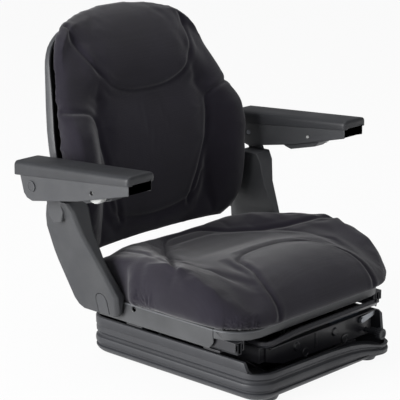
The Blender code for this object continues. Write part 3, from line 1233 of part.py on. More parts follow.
def armrest_body(name, side):
    """Moulded arm: deep at the pivot, thin at the nose, hollow from below and at its front end."""
    def outline(shrink, lift):
        top = PAD_THICKNESS + SEAT_GAP + lift
        front, rear = ARMREST_FRONT + 0.004, ARMREST_REAR - 0.012 - shrink
        floor = ARMREST_PIVOT_Z - 0.028
        return [
            (front, armrest_top(front) - top),
            (front, ARMREST_FRONT_TOP - PAD_THICKNESS - 0.022),
            (ARMREST_PIVOT_Y - 0.120, floor + 0.021),
            (ARMREST_PIVOT_Y, floor),
            (ARMREST_PIVOT_Y + 0.014, floor + 0.004),
            (ARMREST_PIVOT_Y + 0.022 - shrink, floor + 0.012),
            (rear, armrest_top(rear) - top - 0.006),
            (rear, armrest_top(rear) - top),
        ]

    inset = 0.004
    ends = sorted((side * (ARMREST_INNER_X + inset), side * (ARMREST_OUTER_X - inset)))
    body = plate(name, outline(0, 0), (), "X", *ends, COVER_PLASTIC)
    hollow_ends = sorted(
        (side * (ARMREST_INNER_X + inset + ARMREST_WALL), side * (ARMREST_OUTER_X - inset - ARMREST_WALL))
    )
    lower = 0.040
    pocket = outline(ARMREST_WALL, ARMREST_WALL)
    roof_front, roof_rear = pocket[0][1], pocket[7][1]
    pocket = [
        (ARMREST_FRONT - 0.02, roof_front),
        (ARMREST_FRONT - 0.02, pocket[1][1] - lower),
        (ARMREST_PIVOT_Y, pocket[3][1] - lower),
        (ARMREST_REAR + 0.010, pocket[3][1] - lower),
        (ARMREST_REAR + 0.010, roof_rear - 0.010),
        (pocket[7][0], roof_rear - 0.010),
        (pocket[7][0], roof_rear),
    ]
    hollow = plate("hollow", pocket, (), "X", *hollow_ends, COVER_PLASTIC)
    bores = []
    for y, z, radius, sides in (
        (ARMREST_PIVOT_Y, ARMREST_PIVOT_Z, ARMREST_PIN_RADIUS + SEAT_GAP, 12),
        (WHEEL_Y, WHEEL_Z, WHEEL_PIN_RADIUS + TURN_GAP, 10),
    ):
        start, end = (side * (ARMREST_INNER_X - 0.01), y, z), (side * (ARMREST_OUTER_X + 0.01), y, z)
        bores.append(rod("bore", start, end, radius, COVER_PLASTIC, sides))
    body = cut(body, hollow)
    root = HOUSING_DEPTH + 0.006
    low = [(y, armrest_underside(y) - HOUSING_DEPTH) for y in (HOUSING_FRONT + 0.010, HOUSING_REAR - 0.016)]
    front, rear = armrest_underside(HOUSING_FRONT), armrest_underside(HOUSING_REAR)
    case = [(HOUSING_FRONT, front + root), (HOUSING_FRONT, front - 0.002), *low, (HOUSING_REAR, rear - 0.002)]
    case.append((HOUSING_REAR, rear + root))
    ends = sorted((side * HOUSING_INNER_X, side * HOUSING_OUTER_X))
    housing = plate("housing", case, (), "X", *ends, COVER_PLASTIC)
    return cut(welded(body, housing), *bores)


def armrest_underside(y):
    """Height of the arm's lower edge between its nose and the deep part at the pivot."""
    front, rear = ARMREST_FRONT + 0.004, ARMREST_PIVOT_Y - 0.120
    high, low = ARMREST_FRONT_TOP - PAD_THICKNESS - 0.022, ARMREST_PIVOT_Z - 0.007
    return between(((front, high), (rear, low), (ARMREST_PIVOT_Y, low - 0.021)), y)


def armrest_pad(name, side):
    """Foam pad with a skirt that hangs over the arm's sides, deeper towards the rear."""
    rings = []
    stations = [ARMREST_FRONT + (ARMREST_REAR - ARMREST_FRONT) * i / 6 for i in range(7)]
    for y in stations:
        share = (y - ARMREST_FRONT) / (ARMREST_REAR - ARMREST_FRONT)
        top = armrest_top(y)
        skirt = PAD_SKIRT_FRONT + (PAD_SKIRT_REAR - PAD_SKIRT_FRONT) * share
        lip = 0.0035
        half_loop = [
            (ARMREST_INNER_X + lip, top - PAD_THICKNESS),
            (ARMREST_INNER_X + lip, top - skirt),
            (ARMREST_INNER_X, top - skirt),
            (ARMREST_INNER_X, top - 0.008),
            (ARMREST_INNER_X + 0.006, top),
            (ARMREST_OUTER_X - 0.006, top),
            (ARMREST_OUTER_X, top - 0.008),
            (ARMREST_OUTER_X, top - skirt),
            (ARMREST_OUTER_X - lip, top - skirt),
            (ARMREST_OUTER_X - lip, top - PAD_THICKNESS),
        ]
        rings.append([(side * x, y, z) for x, z in half_loop])
    return skin(name, rings, ARM_FOAM)


def armrest_fittings(side_name, side):
    """Pivot pin across the arm, round cap over it, and the tilt wheel on its pin under the arm."""
    inset = 0.004
    outer_face = ARMREST_OUTER_X - inset
    pin = rod(
        f"armrest_pivot_{side_name}",
        (side * (ARMREST_INNER_X + inset), ARMREST_PIVOT_Y, ARMREST_PIVOT_Z),
        (side * outer_face, ARMREST_PIVOT_Y, ARMREST_PIVOT_Z),
        ARMREST_PIN_RADIUS,
        BARE_STEEL,
        12,
    )
    cap_foot = outer_face + SEAT_GAP
    cap = rod(
        f"armrest_cap_{side_name}",
        (side * cap_foot, ARMREST_PIVOT_Y, ARMREST_PIVOT_Z),
        (side * (cap_foot + ARMREST_CAP_HEIGHT), ARMREST_PIVOT_Y, ARMREST_PIVOT_Z),
        ARMREST_CAP_RADIUS,
        COVER_PLASTIC,
        20,
        ARMREST_CAP_RADIUS - 0.0008,
    )
    start, end = ARMREST_INNER_X + inset, outer_face
    middle = WHEEL_X - start
    profile = [
        (0, 0),
        (WHEEL_PIN_RADIUS, 0),
        (WHEEL_PIN_RADIUS, middle - WHEEL_HALF),
        (WHEEL_RADIUS - 0.0015, middle - WHEEL_HALF),
        (WHEEL_RADIUS, middle - WHEEL_HALF + 0.0015),
        (WHEEL_RADIUS, middle + WHEEL_HALF - 0.0015),
        (WHEEL_RADIUS - 0.0015, middle + WHEEL_HALF),
        (WHEEL_PIN_RADIUS, middle + WHEEL_HALF),
        (WHEEL_PIN_RADIUS, end - start),
        (0, end - start),
    ]
    foot = (side * start, WHEEL_Y, WHEEL_Z)
    wheel = turned(f"tilt_wheel_{side_name}", profile, foot, (side, 0, 0), WHEEL_PLASTIC, 12)
    return pin, cap, wheel


# Assembly

def build():
    """Builds every piece and hangs each moving group on an empty at its joint."""
    groups = {}
    groups["base"] = ((0, 0, 0), [base_tub(), lower_frame()])
    rods = rods_and_glides()
    tube, piston, lower_pin, upper_pin = damper()
    groups["base"][1].extend((rods["rear_lower_pivot_rod"], lower_pin))
    outer = [scissor_arms("outer_scissor_arms", True), rods["upper_glide_rod"]]
    inner = [scissor_arms("inner_scissor_arms", False), rods["lower_glide_rod"]]
    for side_name, _ in SIDES:
        outer += [rods[f"upper_glide_{side_name}"], rods[f"centre_pin_{side_name}"]]
        inner.append(rods[f"lower_glide_{side_name}"])
    groups["outer_arms"] = ((0, PIVOT_Y, LOW_PIVOT_Z), outer)
    groups["inner_arms"] = ((0, PIVOT_Y, HIGH_PIVOT_Z), inner)
    groups["damper_tube"] = ((0, DAMPER_LOW_Y, DAMPER_LOW_Z), [tube])
    groups["damper_rod"] = ((0, DAMPER_HIGH_Y, DAMPER_HIGH_Z), [piston])
    lever, lever_pin = height_lever()
    stage = [upper_frame(), rods["rear_upper_pivot_rod"], upper_pin, front_panel(), lever_pin]
    stage += [lower_rail(f"lower_rail_{name}", side) for name, side in SIDES]
    stage += [spring(f"weight_spring_{name}", side * SPRING_X) for name, side in SIDES]
    groups["upper_frame"] = ((0, 0, HIGH_FRAME_Z), stage)
    knob, spindle, anchor = weight_adjuster()
    groups["weight_knob"] = ((KNOB_X, KNOB_FRONT, SPRING_Z), [knob, spindle])
    groups["spring_anchor"] = ((KNOB_X, ANCHOR_Y, SPRING_Z), [anchor])
    groups["height_lever"] = ((LEVER_PIVOT_X, CHANNEL_FRONT, LEVER_PIVOT_Z), [lever])
    handle, handle_pins = slide_handle()
    seat = [upper_rail(f"upper_rail_{name}", side) for name, side in SIDES]
    seat += [seat_pan(), seat_cushion(), *handle_pins]
    seat += [recline_hinge(f"recline_hinge_{name}", side) for name, side in SIDES]
    groups["seat"] = ((0, 0, PAN_FLOOR_Z), seat)
    groups["slide_handle"] = ((0, HANDLE_PIVOT_Y, HANDLE_PIVOT_Z), [handle])
    back = [side_bracket(f"side_bracket_{name}", side) for name, side in SIDES]
    back += [backrest_shell(), backrest_frame(), backrest_cushion()]
    for side_name, side in SIDES:
        pin, cap, wheel = armrest_fittings(side_name, side)
        back += [pin, hinge_cover(f"hinge_cover_{side_name}", side)]
        groups[f"tilt_wheel_{side_name}"] = ((side * WHEEL_X, WHEEL_Y, WHEEL_Z), [wheel])
        body = armrest_body(f"armrest_body_{side_name}", side)
        arm = [body, armrest_pad(f"armrest_pad_{side_name}", side), cap]
        groups[f"armrest_{side_name}"] = ((side * ARMREST_LUG_X, ARMREST_PIVOT_Y, ARMREST_PIVOT_Z), arm)
    groups["backrest"] = ((0, RECLINE_Y, RECLINE_Z), back)
    for name, (place, pieces) in groups.items():
        pivot = bpy.data.objects.new(f"pivot_{name}", None)
        pivot.location = place
        SEAT.objects.link(pivot)
        bpy.context.view_layer.update()
        for piece in pieces:
            piece.parent = pivot
            piece.matrix_parent_inverse = pivot.matrix_world.inverted()


build()
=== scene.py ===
"""Looks of a tractor suspension seat: cloth cushions, moulded covers and a painted scissor suspension.

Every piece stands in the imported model's frame, in metres, +Z up, and the occupant faces -Y.
"""

import json
import logging
import math
from collections.abc import Callable, Sequence
from dataclasses import dataclass
from enum import Enum

import bmesh
import bpy
import numpy as np
from mathutils import Matrix, Vector
from mathutils.bvhtree import BVHTree


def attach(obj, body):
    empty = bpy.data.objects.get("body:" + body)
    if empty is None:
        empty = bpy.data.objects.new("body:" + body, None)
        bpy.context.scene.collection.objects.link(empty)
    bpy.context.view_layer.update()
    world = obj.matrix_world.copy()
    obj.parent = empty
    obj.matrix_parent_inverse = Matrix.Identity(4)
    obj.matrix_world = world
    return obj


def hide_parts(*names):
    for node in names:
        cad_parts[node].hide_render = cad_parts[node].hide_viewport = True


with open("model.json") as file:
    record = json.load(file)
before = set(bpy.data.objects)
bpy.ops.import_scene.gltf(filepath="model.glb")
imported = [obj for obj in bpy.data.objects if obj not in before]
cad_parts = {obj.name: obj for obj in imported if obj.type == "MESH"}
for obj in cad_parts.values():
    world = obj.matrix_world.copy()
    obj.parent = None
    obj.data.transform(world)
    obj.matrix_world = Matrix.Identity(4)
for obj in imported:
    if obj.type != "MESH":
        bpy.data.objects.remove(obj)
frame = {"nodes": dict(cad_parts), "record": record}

LOG = logging.getLogger("suspension_seat")
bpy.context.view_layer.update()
BODY_OF = {node: body for body, nodes in frame["record"]["behaviour"]["bodies"].items() for node in nodes}
Point = tuple[float, float, float]


# Small helpers


def to_linear(code: str) -> tuple[float, float, float, float]:
    """Turns an sRGB hex colour into a linear one.

    Args:
        code: Colour as #rrggbb.

    Returns:
        Linear red, green, blue and an alpha of 1.
    """
    parts = [int(code[i : i + 2], 16) / 255 for i in (1, 3, 5)]
    linear = [c / 12.92 if c <= 0.04045 else ((c + 0.055) / 1.055) ** 2.4 for c in parts]
    return (*linear, 1.0)


def rise(start: float, end: float, place: float) -> float:
    """Smooth step.

    Args:
        start: Place where it is 0.
        end: Place where it is 1.
        place: Where it is read.

    Returns:
        A value from 0 to 1.
    """
    t = min(max((place - start) / (end - start), 0.0), 1.0)
    return t * t * (3 - 2 * t)


def between(stations: Sequence[tuple[float, float]], place: float) -> float:
    """Reads a value on straight lines between stations.

    Args:
        stations: (place, value) pairs in order.
        place: Where it is read.

    Returns:
        The value there, or the end value outside the stations.
    """
    places, values = zip(*stations)
    return float(np.interp(place, places, values))


def shell_rear(x: float, z: float) -> float:
    """Rear face of the backrest, which leans back and bows round the occupant.

    Args:
        x: Place across, or an array of them.
        z: Height, or an array of them.

    Returns:
        Its Y there.
    """
    return 0.300 + 0.21 * (z - 0.207) - 0.045 * (x / 0.241) ** 2


def linked(name: str, mesh: bmesh.types.BMesh, sharp: float = 35.0) -> bpy.types.Object:
    """Makes a smooth-shaded object of a bmesh.

    Args:
        name: Name of the piece.
        mesh: Mesh to keep; it is freed.
        sharp: Angle in degrees past which an edge shades hard.

    Returns:
        The object, in the scene and at the origin.
    """
    data = bpy.data.meshes.new(name)
    mesh.to_mesh(data)
    mesh.free()
    data.shade_smooth()
    data.set_sharp_from_angle(angle=math.radians(sharp))
    item = bpy.data.objects.new(name, data)
    bpy.context.scene.collection.objects.link(item)
    return item


def evaluated(item: bpy.types.Object) -> bpy.types.Mesh:
    """Makes a mesh of an object as its modifiers leave it.

    Args:
        item: The object.

    Returns:
        The mesh.
    """
    bpy.context.view_layer.update()
    return bpy.data.meshes.new_from_object(item.evaluated_get(bpy.context.evaluated_depsgraph_get()))


def merged(node: str) -> bmesh.types.BMesh:
    """Copies a CAD node's mesh and joins its loose triangles.

    Args:
        node: Name of the node.

    Returns:
        A closed mesh in the node's place.
    """
    mesh = bmesh.new()
    mesh.from_mesh(frame["nodes"][node].data)
    bmesh.ops.remove_doubles(mesh, verts=mesh.verts, dist=2e-5)
    bmesh.ops.dissolve_degenerate(mesh, edges=mesh.edges, dist=1e-6)
    return mesh


# Finishes


def add_node(tree: bpy.types.NodeTree, kind: str, inputs: dict | None = None, **settings) -> bpy.types.Node:
    """Adds a shader node with its settings, values and links.

    Args:
        tree: Node tree that gets the node.
        kind: Blender's name for the node type.
        inputs: Socket name or number, with a value or with the output that feeds it.
        **settings: Properties of the node.

    Returns:
        The new node.
    """
    node = tree.nodes.new(kind)
    for name, value in settings.items():
        setattr(node, name, value)
    for name, value in (inputs or {}).items():
        if isinstance(value, bpy.types.NodeSocket):
            tree.links.new(value, node.inputs[name])
        else:
            node.inputs[name].default_value = value
    return node


class Relief(Enum):
    """Kinds of surface texture."""

    GRAIN = "eroded grain of a mould"
    PEEL = "slow waves of sprayed paint"
    DRAWN = "fine lines of drawn wire and rod"
    PORES = "closed pores of skinned foam"
    WEAVE = "crossing threads"


@dataclass(frozen=True)
class Finish:
    """One material: its colours, its gloss and the relief of its surface."""

    name: str
    slot: str
    colour: str
    shade: str
    roughness: float
    relief: Relief
    pitch_mm: float
    depth_mm: float
    blotch_mm: float = 60.0
    spread: float = 0.06
    metallic: float = 0.0
    specular: float = 0.5
    sheen: float = 0.0
    coat: float = 0.0
    wear: str = ""
    wear_share: float = 0.0

    def height(self, tree: bpy.types.NodeTree, place: bpy.types.NodeSocket) -> bpy.types.NodeSocket:
        """Builds the relief.

        Args:
            tree: The material's nodes.
            place: Object coordinates.

        Returns:
            The output that carries the height.
        """
        scale = 1000 / self.pitch_mm
        if self.relief is Relief.WEAVE:
            leaning = add_node(
                tree, "ShaderNodeMapping", {"Vector": place, "Rotation": (math.pi / 4, 0.0, 0.0)}
            )
            across, rising, falling = (
                add_node(
                    tree, "ShaderNodeTexWave",
                    {"Vector": leaning.outputs[0], "Scale": scale * 0.314, "Distortion": 1.5, "Detail": 1.0,
                     "Detail Scale": 2.0},
                    bands_direction=direction,
                ).outputs["Fac"]
                for direction in ("X", "Y", "Z")
            )
            rows = add_node(tree, "ShaderNodeMath", {0: rising, 1: falling}, operation="ADD")
            woven = add_node(tree, "ShaderNodeMath", {0: across, 1: rows.outputs[0]}, operation="MULTIPLY")
            fibre = add_node(tree, "ShaderNodeTexNoise", {"Vector": place, "Scale": scale * 2, "Detail": 2.0})
            return add_node(
                tree, "ShaderNodeMath", {0: fibre.outputs["Fac"], 1: 0.5, 2: woven.outputs[0]},
                operation="MULTIPLY_ADD",
            ).outputs[0]
        if self.relief in (Relief.GRAIN, Relief.PORES):
            cells = add_node(
                tree, "ShaderNodeTexVoronoi", {"Vector": place, "Scale": scale, "Smoothness": 0.6},
                feature="SMOOTH_F1",
            )
            fine = add_node(
                tree, "ShaderNodeTexNoise", {"Vector": place, "Scale": scale * 1.7, "Detail": 3.0}
            )
            return add_node(
                tree, "ShaderNodeMath", {0: fine.outputs["Fac"], 1: 0.6, 2: cells.outputs["Distance"]},
                operation="MULTIPLY_ADD",
            ).outputs[0]
        stretch = (0.04, 1.0, 1.0) if self.relief is Relief.DRAWN else (1.0, 1.0, 1.0)
        along = add_node(tree, "ShaderNodeMapping", {"Vector": place, "Scale": stretch})
        waves = add_node(
            tree, "ShaderNodeTexNoise", {"Vector": along.outputs[0], "Scale": scale, "Detail": 2.0}
        )
        return waves.outputs["Fac"]

    def material(self) -> bpy.types.Material:
        """Builds the material once, and gives it again after that.

        Returns:
            The material.
        """
        known = bpy.data.materials.get(self.name)
        if known:
            return known
        material = bpy.data.materials.new(self.name)
        material.use_nodes = True
        tree = material.node_tree
        shader = tree.nodes["Principled BSDF"]
        place = add_node(tree, "ShaderNodeTexCoord").outputs["Object"]
        blotch = add_node(
            tree, "ShaderNodeTexNoise", {"Vector": place, "Scale": 1000 / self.blotch_mm, "Detail": 4.0}
        ).outputs["Fac"]
        share = add_node(
            tree, "ShaderNodeMapRange", {"Value": blotch, "From Min": 0.35, "From Max": 0.65}
        ).outputs["Result"]
        tone = add_node(
            tree, "ShaderNodeMix",
            {"Factor": share, 6: to_linear(self.colour), 7: to_linear(self.shade)}, data_type="RGBA",
        ).outputs[2]
        height = self.height(tree, place)
        if self.wear_share:
            edge = add_node(tree, "ShaderNodeNewGeometry").outputs["Pointiness"]
            rubbed = add_node(
                tree, "ShaderNodeMapRange",
                {"Value": edge, "From Min": 0.51, "From Max": 0.60, "To Max": self.wear_share},
            ).outputs["Result"]
            tone = add_node(
                tree, "ShaderNodeMix", {"Factor": rubbed, 6: tone, 7: to_linear(self.wear)}, data_type="RGBA"
            ).outputs[2]
        tree.links.new(tone, shader.inputs["Base Color"])
        gloss = add_node(
            tree, "ShaderNodeMapRange",
            {"Value": blotch, "From Min": 0.3, "From Max": 0.7, "To Min": self.roughness - self.spread,
             "To Max": self.roughness + self.spread},
        ).outputs["Result"]
        tree.links.new(gloss, shader.inputs["Roughness"])
        bump = add_node(
            tree, "ShaderNodeBump", {"Height": height, "Strength": 1.0, "Distance": self.depth_mm / 1000}
        )
        tree.links.new(bump.outputs[0], shader.inputs["Normal"])
        for socket, value in (
            ("Metallic", self.metallic), ("Specular IOR Level", self.specular), ("Sheen Weight", self.sheen),
            ("Coat Weight", self.coat),
        ):
            shader.inputs[socket].default_value = value
        shader.inputs["Sheen Roughness"].default_value = 0.5
        return material


# Polypropylene from an eroded mould: fine matt grain, scuffed paler along its edges
TUB_PLASTIC = Finish(
    "moulded_polypropylene", "tub_plastic", "#2c2d31", "#27282c", 0.48, Relief.GRAIN, 1.1, 0.05,
    wear="#5b5c60", wear_share=0.25,
)
# Sprayed satin black on welded sheet and tube: slow waves and a soft gloss
BLACK_PAINT = Finish(
    "satin_black_paint", "black_steel", "#1b1b1f", "#222226", 0.36, Relief.PEEL, 6.0, 0.05, coat=0.15,
    wear="#4a4a4e", wear_share=0.2,
)
# Powder coat on the pressed pan: greyer and duller than the black paint
PAN_PAINT = Finish(
    "powder_coated_pan", "pan_steel", "#3a3b3d", "#424345", 0.42, Relief.PEEL, 3.0, 0.05,
    wear="#77787a", wear_share=0.3,
)
# The same powder coat on the rolled rim, painted far paler all round: a painted highlight along the rim
PAN_RIM_PAINTED_HIGHLIGHT = Finish("pan_rim_painted_highlight", "pan_steel", "#606266", "#55575a", 0.38, Relief.PEEL, 3.0, 0.04)
# Zinc plating on rods, rails and springs: dull silver, with drawn lines along the rods
ZINC = Finish(
    "zinc_plated_steel", "bare_steel", "#8b8e92", "#74777c", 0.34, Relief.DRAWN, 1.2, 0.03, metallic=1.0,
)
# Oiled dark steel of the slide rails, mottled a little greyer at random
RAIL_STEEL = Finish(
    "oiled_rail_steel", "bare_steel", "#27282b", "#303134", 0.38, Relief.DRAWN, 1.2, 0.03, metallic=0.6,
)
# Grained ABS of the shell, the brackets and the arms
COVER_PLASTIC = Finish(
    "grained_abs", "cover_plastic", "#3d3e40", "#36373a", 0.50, Relief.GRAIN, 1.4, 0.06,
    wear="#63656a", wear_share=0.2,
)
# Polyurethane with a moulded skin: closed pores under a dull soft gloss
ARM_FOAM = Finish(
    "skinned_urethane", "arm_foam", "#303134", "#2a2b2e", 0.46, Relief.PORES, 1.6, 0.05, specular=0.4,
)
# Knitted upholstery cloth; its 0.8 mm loops are drawn at 2.4 mm, or the render would lose them
CLOTH = Finish(
    "upholstery_cloth", "charcoal_fabric", "#1f1c26", "#1b1821", 0.92, Relief.WEAVE, 2.4, 0.10, blotch_mm=90,
    spread=0.03, specular=0.2, sheen=0.30,
)
# Natural nylon glides
NYLON = Finish("natural_nylon", "white_nylon", "#cfcdc2", "#c3c1b6", 0.45, Relief.GRAIN, 1.5, 0.02)
# Pale polypropylene of the tilt wheels
PALE_PLASTIC = Finish(
    "pale_polypropylene", "wheel_plastic", "#b4b5b3", "#a6a7a6", 0.48, Relief.GRAIN, 1.2, 0.03,
)
# Blue-black ribbed rubber pad on the frame
RUBBER = Finish("ribbed_rubber", "tub_plastic", "#3c4652", "#343e49", 0.6, Relief.GRAIN, 1.5, 0.04)


def settle(item: bpy.types.Object, finish: Finish, body: str, *nodes: str) -> bpy.types.Object:
    """Dresses a finished piece, ties it to its body and lets it stand for CAD nodes.

    Args:
        item: The piece.
        finish: Its finish.
        body: Body that it moves with.
        *nodes: CAD nodes that it replaces.

    Returns:
        The piece.
    """
    item.data.materials.clear()
    item.data.materials.append(finish.material())
    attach(item, body)
    if nodes:
        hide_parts(*nodes)
    LOG.info("%s rides on %s", item.name, body)
    return item


def refined(node: str, finish: Finish, edge: float = 0.0012, segments: int = 3) -> bpy.types.Object:
    """Puts a copy with rounded edges in the place of a hard CAD node.

    Args:
        node: Name of the node.
        finish: Its finish.
        edge: Radius of its edges in metres.
        segments: Steps round each edge.

    Returns:
        The piece.
    """
    mesh = merged(node)
    bmesh.ops.dissolve_limit(mesh, angle_limit=math.radians(0.6), verts=mesh.verts, edges=mesh.edges)
    item = linked(f"{node}_dressed", mesh, 32)
    if edge:
        round_off = item.modifiers.new("Round edges", "BEVEL")
        round_off.width = edge
        round_off.segments = segments
        round_off.limit_method = "ANGLE"
        round_off.angle_limit = math.radians(38)
        round_off.use_clamp_overlap = False
        even = item.modifiers.new("Even shading", "WEIGHTED_NORMAL")
        even.keep_sharp = True
    return settle(item, finish, BODY_OF[node], node)


class Loft:
    """Skin that grows ring by ring: each ring is extruded from the last and then placed by a rule."""

    def __init__(self, count: int) -> None:
        """Starts the first ring.

        Args:
            count: Points in a ring.
        """
        self.mesh = bmesh.new()
        self.slot = self.mesh.verts.layers.int.new("slot")
        self.count = count
        self.verts: list[bmesh.types.BMVert] = []
        self.edges: list[bmesh.types.BMEdge] = []

    def ring(self, place: Callable[[int], Sequence[float]]) -> None:
        """Adds a ring.

        Args:
            place: Gives the place of a ring's point by its number.
        """
        if not self.verts:
            self.verts = bmesh.ops.create_circle(self.mesh, segments=self.count, radius=1.0)["verts"]
            for number, vert in enumerate(self.verts):
                vert[self.slot] = number
            self.edges = list(self.mesh.edges)
        else:
            grown = bmesh.ops.extrude_edge_only(self.mesh, edges=self.edges)["geom"]
            self.verts = [part for part in grown if isinstance(part, bmesh.types.BMVert)]
            fresh = set(self.verts)
            self.edges = [
                part for part in grown
                if isinstance(part, bmesh.types.BMEdge) and fresh.issuperset(part.verts)
            ]
        for vert in self.verts:
            vert.co = place(vert[self.slot])

    def finish(self, name: str, sharp: float = 35.0) -> bpy.types.Object:
        """Caps both ends and makes the object.

        Args:
            name: Name of the piece.
            sharp: Angle in degrees past which an edge shades hard.

        Returns:
            The object.
        """
        bmesh.ops.holes_fill(self.mesh, edges=[e for e in self.mesh.edges if e.is_boundary], sides=0)
        bmesh.ops.remove_doubles(self.mesh, verts=self.mesh.verts, dist=1e-5)
        bmesh.ops.recalc_face_normals(self.mesh, faces=self.mesh.faces)
        return linked(name, self.mesh, sharp)


def rounded_loop(
    half_x: float, front: float, rear: float, front_radius: float, rear_radius: float, steps: int, side: int
) -> list[tuple[float, float]]:
    """Outline of a plan with round corners, with points along its sides too.

    Args:
        half_x: Half its width.
        front: Its lowest Y.
        rear: Its highest Y.
        front_radius: Radius of the front corners.
        rear_radius: Radius of the rear corners.
        steps: Steps round a corner.
        side: Steps along a side.

    Returns:
        (x, y) points, anticlockwise from the front corner on +X.
    """
    corners = (
        (half_x - front_radius, front + front_radius, front_radius, -90),
        (half_x - rear_radius, rear - rear_radius, rear_radius, 0),
        (rear_radius - half_x, rear - rear_radius, rear_radius, 90),
        (front_radius - half_x, front + front_radius, front_radius, 180),
    )
    arcs = []
    for x, y, radius, start in corners:
        angles = [math.radians(start + 90 * i / steps) for i in range(steps + 1)]
        arcs.append([Vector((x + radius * math.cos(a), y + radius * math.sin(a))) for a in angles])
    loop = []
    for arc, following in zip(arcs, arcs[1:] + arcs[:1]):
        loop += arc
        loop += [arc[-1].lerp(following[0], i / side) for i in range(1, side)]
    return [tuple(point) for point in loop]


def tube(
    name: str, points: Sequence[Point], radius: float, finish: Finish, body: str, *nodes: str,
    cyclic: bool = False,
) -> bpy.types.Object:
    """Round bar along a route.

    Args:
        name: Name of the piece.
        points: The route.
        radius: Radius of the bar.
        finish: Its finish.
        body: Body that it moves with.
        *nodes: CAD nodes that it replaces.
        cyclic: Whether the route closes on itself.

    Returns:
        The piece.
    """
    curve = bpy.data.curves.new(name, "CURVE")
    curve.dimensions = "3D"
    curve.bevel_depth = radius
    curve.bevel_resolution = 4
    curve.use_fill_caps = not cyclic
    spline = curve.splines.new("POLY")
    spline.points.add(len(points) - 1)
    spline.use_cyclic_u = cyclic
    for point, place in zip(spline.points, points):
        point.co = (*place, 1)
    item = bpy.data.objects.new(name, curve)
    bpy.context.scene.collection.objects.link(item)
    data = evaluated(item)
    bpy.data.objects.remove(item)
    mesh = bmesh.new()
    mesh.from_mesh(data)
    bmesh.ops.remove_doubles(mesh, verts=mesh.verts, dist=1e-6)
    return settle(linked(name, mesh), finish, body, *nodes)


def turned(
    name: str, profile: Sequence[tuple[float, float]], base: Point, direction: Point, finish: Finish,
    body: str, *nodes: str, ribs: int = 0, rib_depth: float = 0.0, sides: int = 48,
) -> bpy.types.Object:
    """Turned piece with an optional ribbed rim.

    Args:
        name: Name of the piece.
        profile: (radius, height) pairs from one end of its axis to the other.
        base: Where the axis starts.
        direction: Where the axis points.
        finish: Its finish.
        body: Body that it moves with.
        *nodes: CAD nodes that it replaces.
        ribs: Ribs round its widest part.
        rib_depth: How deep the grooves between them are.
        sides: Steps round the axis.

    Returns:
        The piece.
    """
    widest = max(radius for radius, _ in profile)
    place = Matrix.Translation(base) @ Vector(direction).to_track_quat("Z", "Y").to_matrix().to_4x4()
    skin = Loft(sides)
    for radius, height in profile:
        def point(number: int, radius: float = radius, height: float = height) -> Vector:
            angle = 2 * math.pi * number / sides
            cut = rib_depth * (0.5 - 0.5 * math.cos(ribs * angle)) if ribs and radius > 0.93 * widest else 0.0
            reach = radius - cut
            return place @ Vector((reach * math.cos(angle), reach * math.sin(angle), height))

        skin.ring(point)
    return settle(skin.finish(name, 40), finish, body, *nodes)


# Upholstery


@dataclass(frozen=True)
class Seam:
    """Sewn line on a cushion: a groove, gathered or plain, along a route in millimetres."""

    route: tuple[Point, ...]
    width: float = 0.0045
    depth: float = 0.0035
    onto: Point = (0.0, 0.0, 0.0)
    gathers: float = 0.0
    pitch: float = 0.006
    reach: float = 0.020


def laid(seam: Seam, surface: BVHTree) -> list[np.ndarray]:
    """Lays a seam's route on a cushion, in short steps.

    Args:
        seam: The seam.
        surface: The cushion's skin.

    Returns:
        The points of the route, on the skin.
    """
    route = np.array(seam.route) / 1000
    fine = [route[0]]
    for index in range(len(route) - 1):
        before, start = route[max(index - 1, 0)], route[index]
        end, after = route[index + 1], route[min(index + 2, len(route) - 1)]
        for t in np.linspace(0, 1, 7)[1:]:
            fine.append(
                0.5 * (2 * start + (end - before) * t + (2 * before - 5 * start + 4 * end - after) * t**2
                       + (3 * start - before - 3 * end + after) * t**3)
            )
    onto = Vector(seam.onto)
    found = []
    for place in fine:
        if onto.length:
            hit = surface.ray_cast(Vector(place) - onto * 0.12, onto, 0.24)[0]
        else:
            hit = surface.find_nearest(Vector(place), 0.03)[0]
        found.append(np.array(hit if hit is not None else place))
    return found


def seam_fields(places: np.ndarray, line: Sequence[np.ndarray]) -> tuple[np.ndarray, np.ndarray]:
    """Measures how far points lie from a seam or its mirror image.

    Args:
        places: Points, one a row.
        line: The seam's points, all on the side of positive X.

    Returns:
        The distance of each point from the seam, and how far along the seam it lies.
    """
    folded = np.column_stack((np.abs(places[:, 0]), places[:, 1:]))
    best = np.full(len(places), 1e9)
    along = np.zeros(len(places))
    run = 0.0
    for start, end in zip(line, line[1:]):
        span = end - start
        length = float(np.linalg.norm(span))
        if length < 1e-9:
            continue
        share = np.clip((folded - start) @ span / length**2, 0, 1)
        away = np.linalg.norm(folded - start - share[:, None] * span, axis=1)
        nearer = away < best
        best[nearer] = away[nearer]
        along[nearer] = run + share[nearer] * length
        run += length
    return best, along


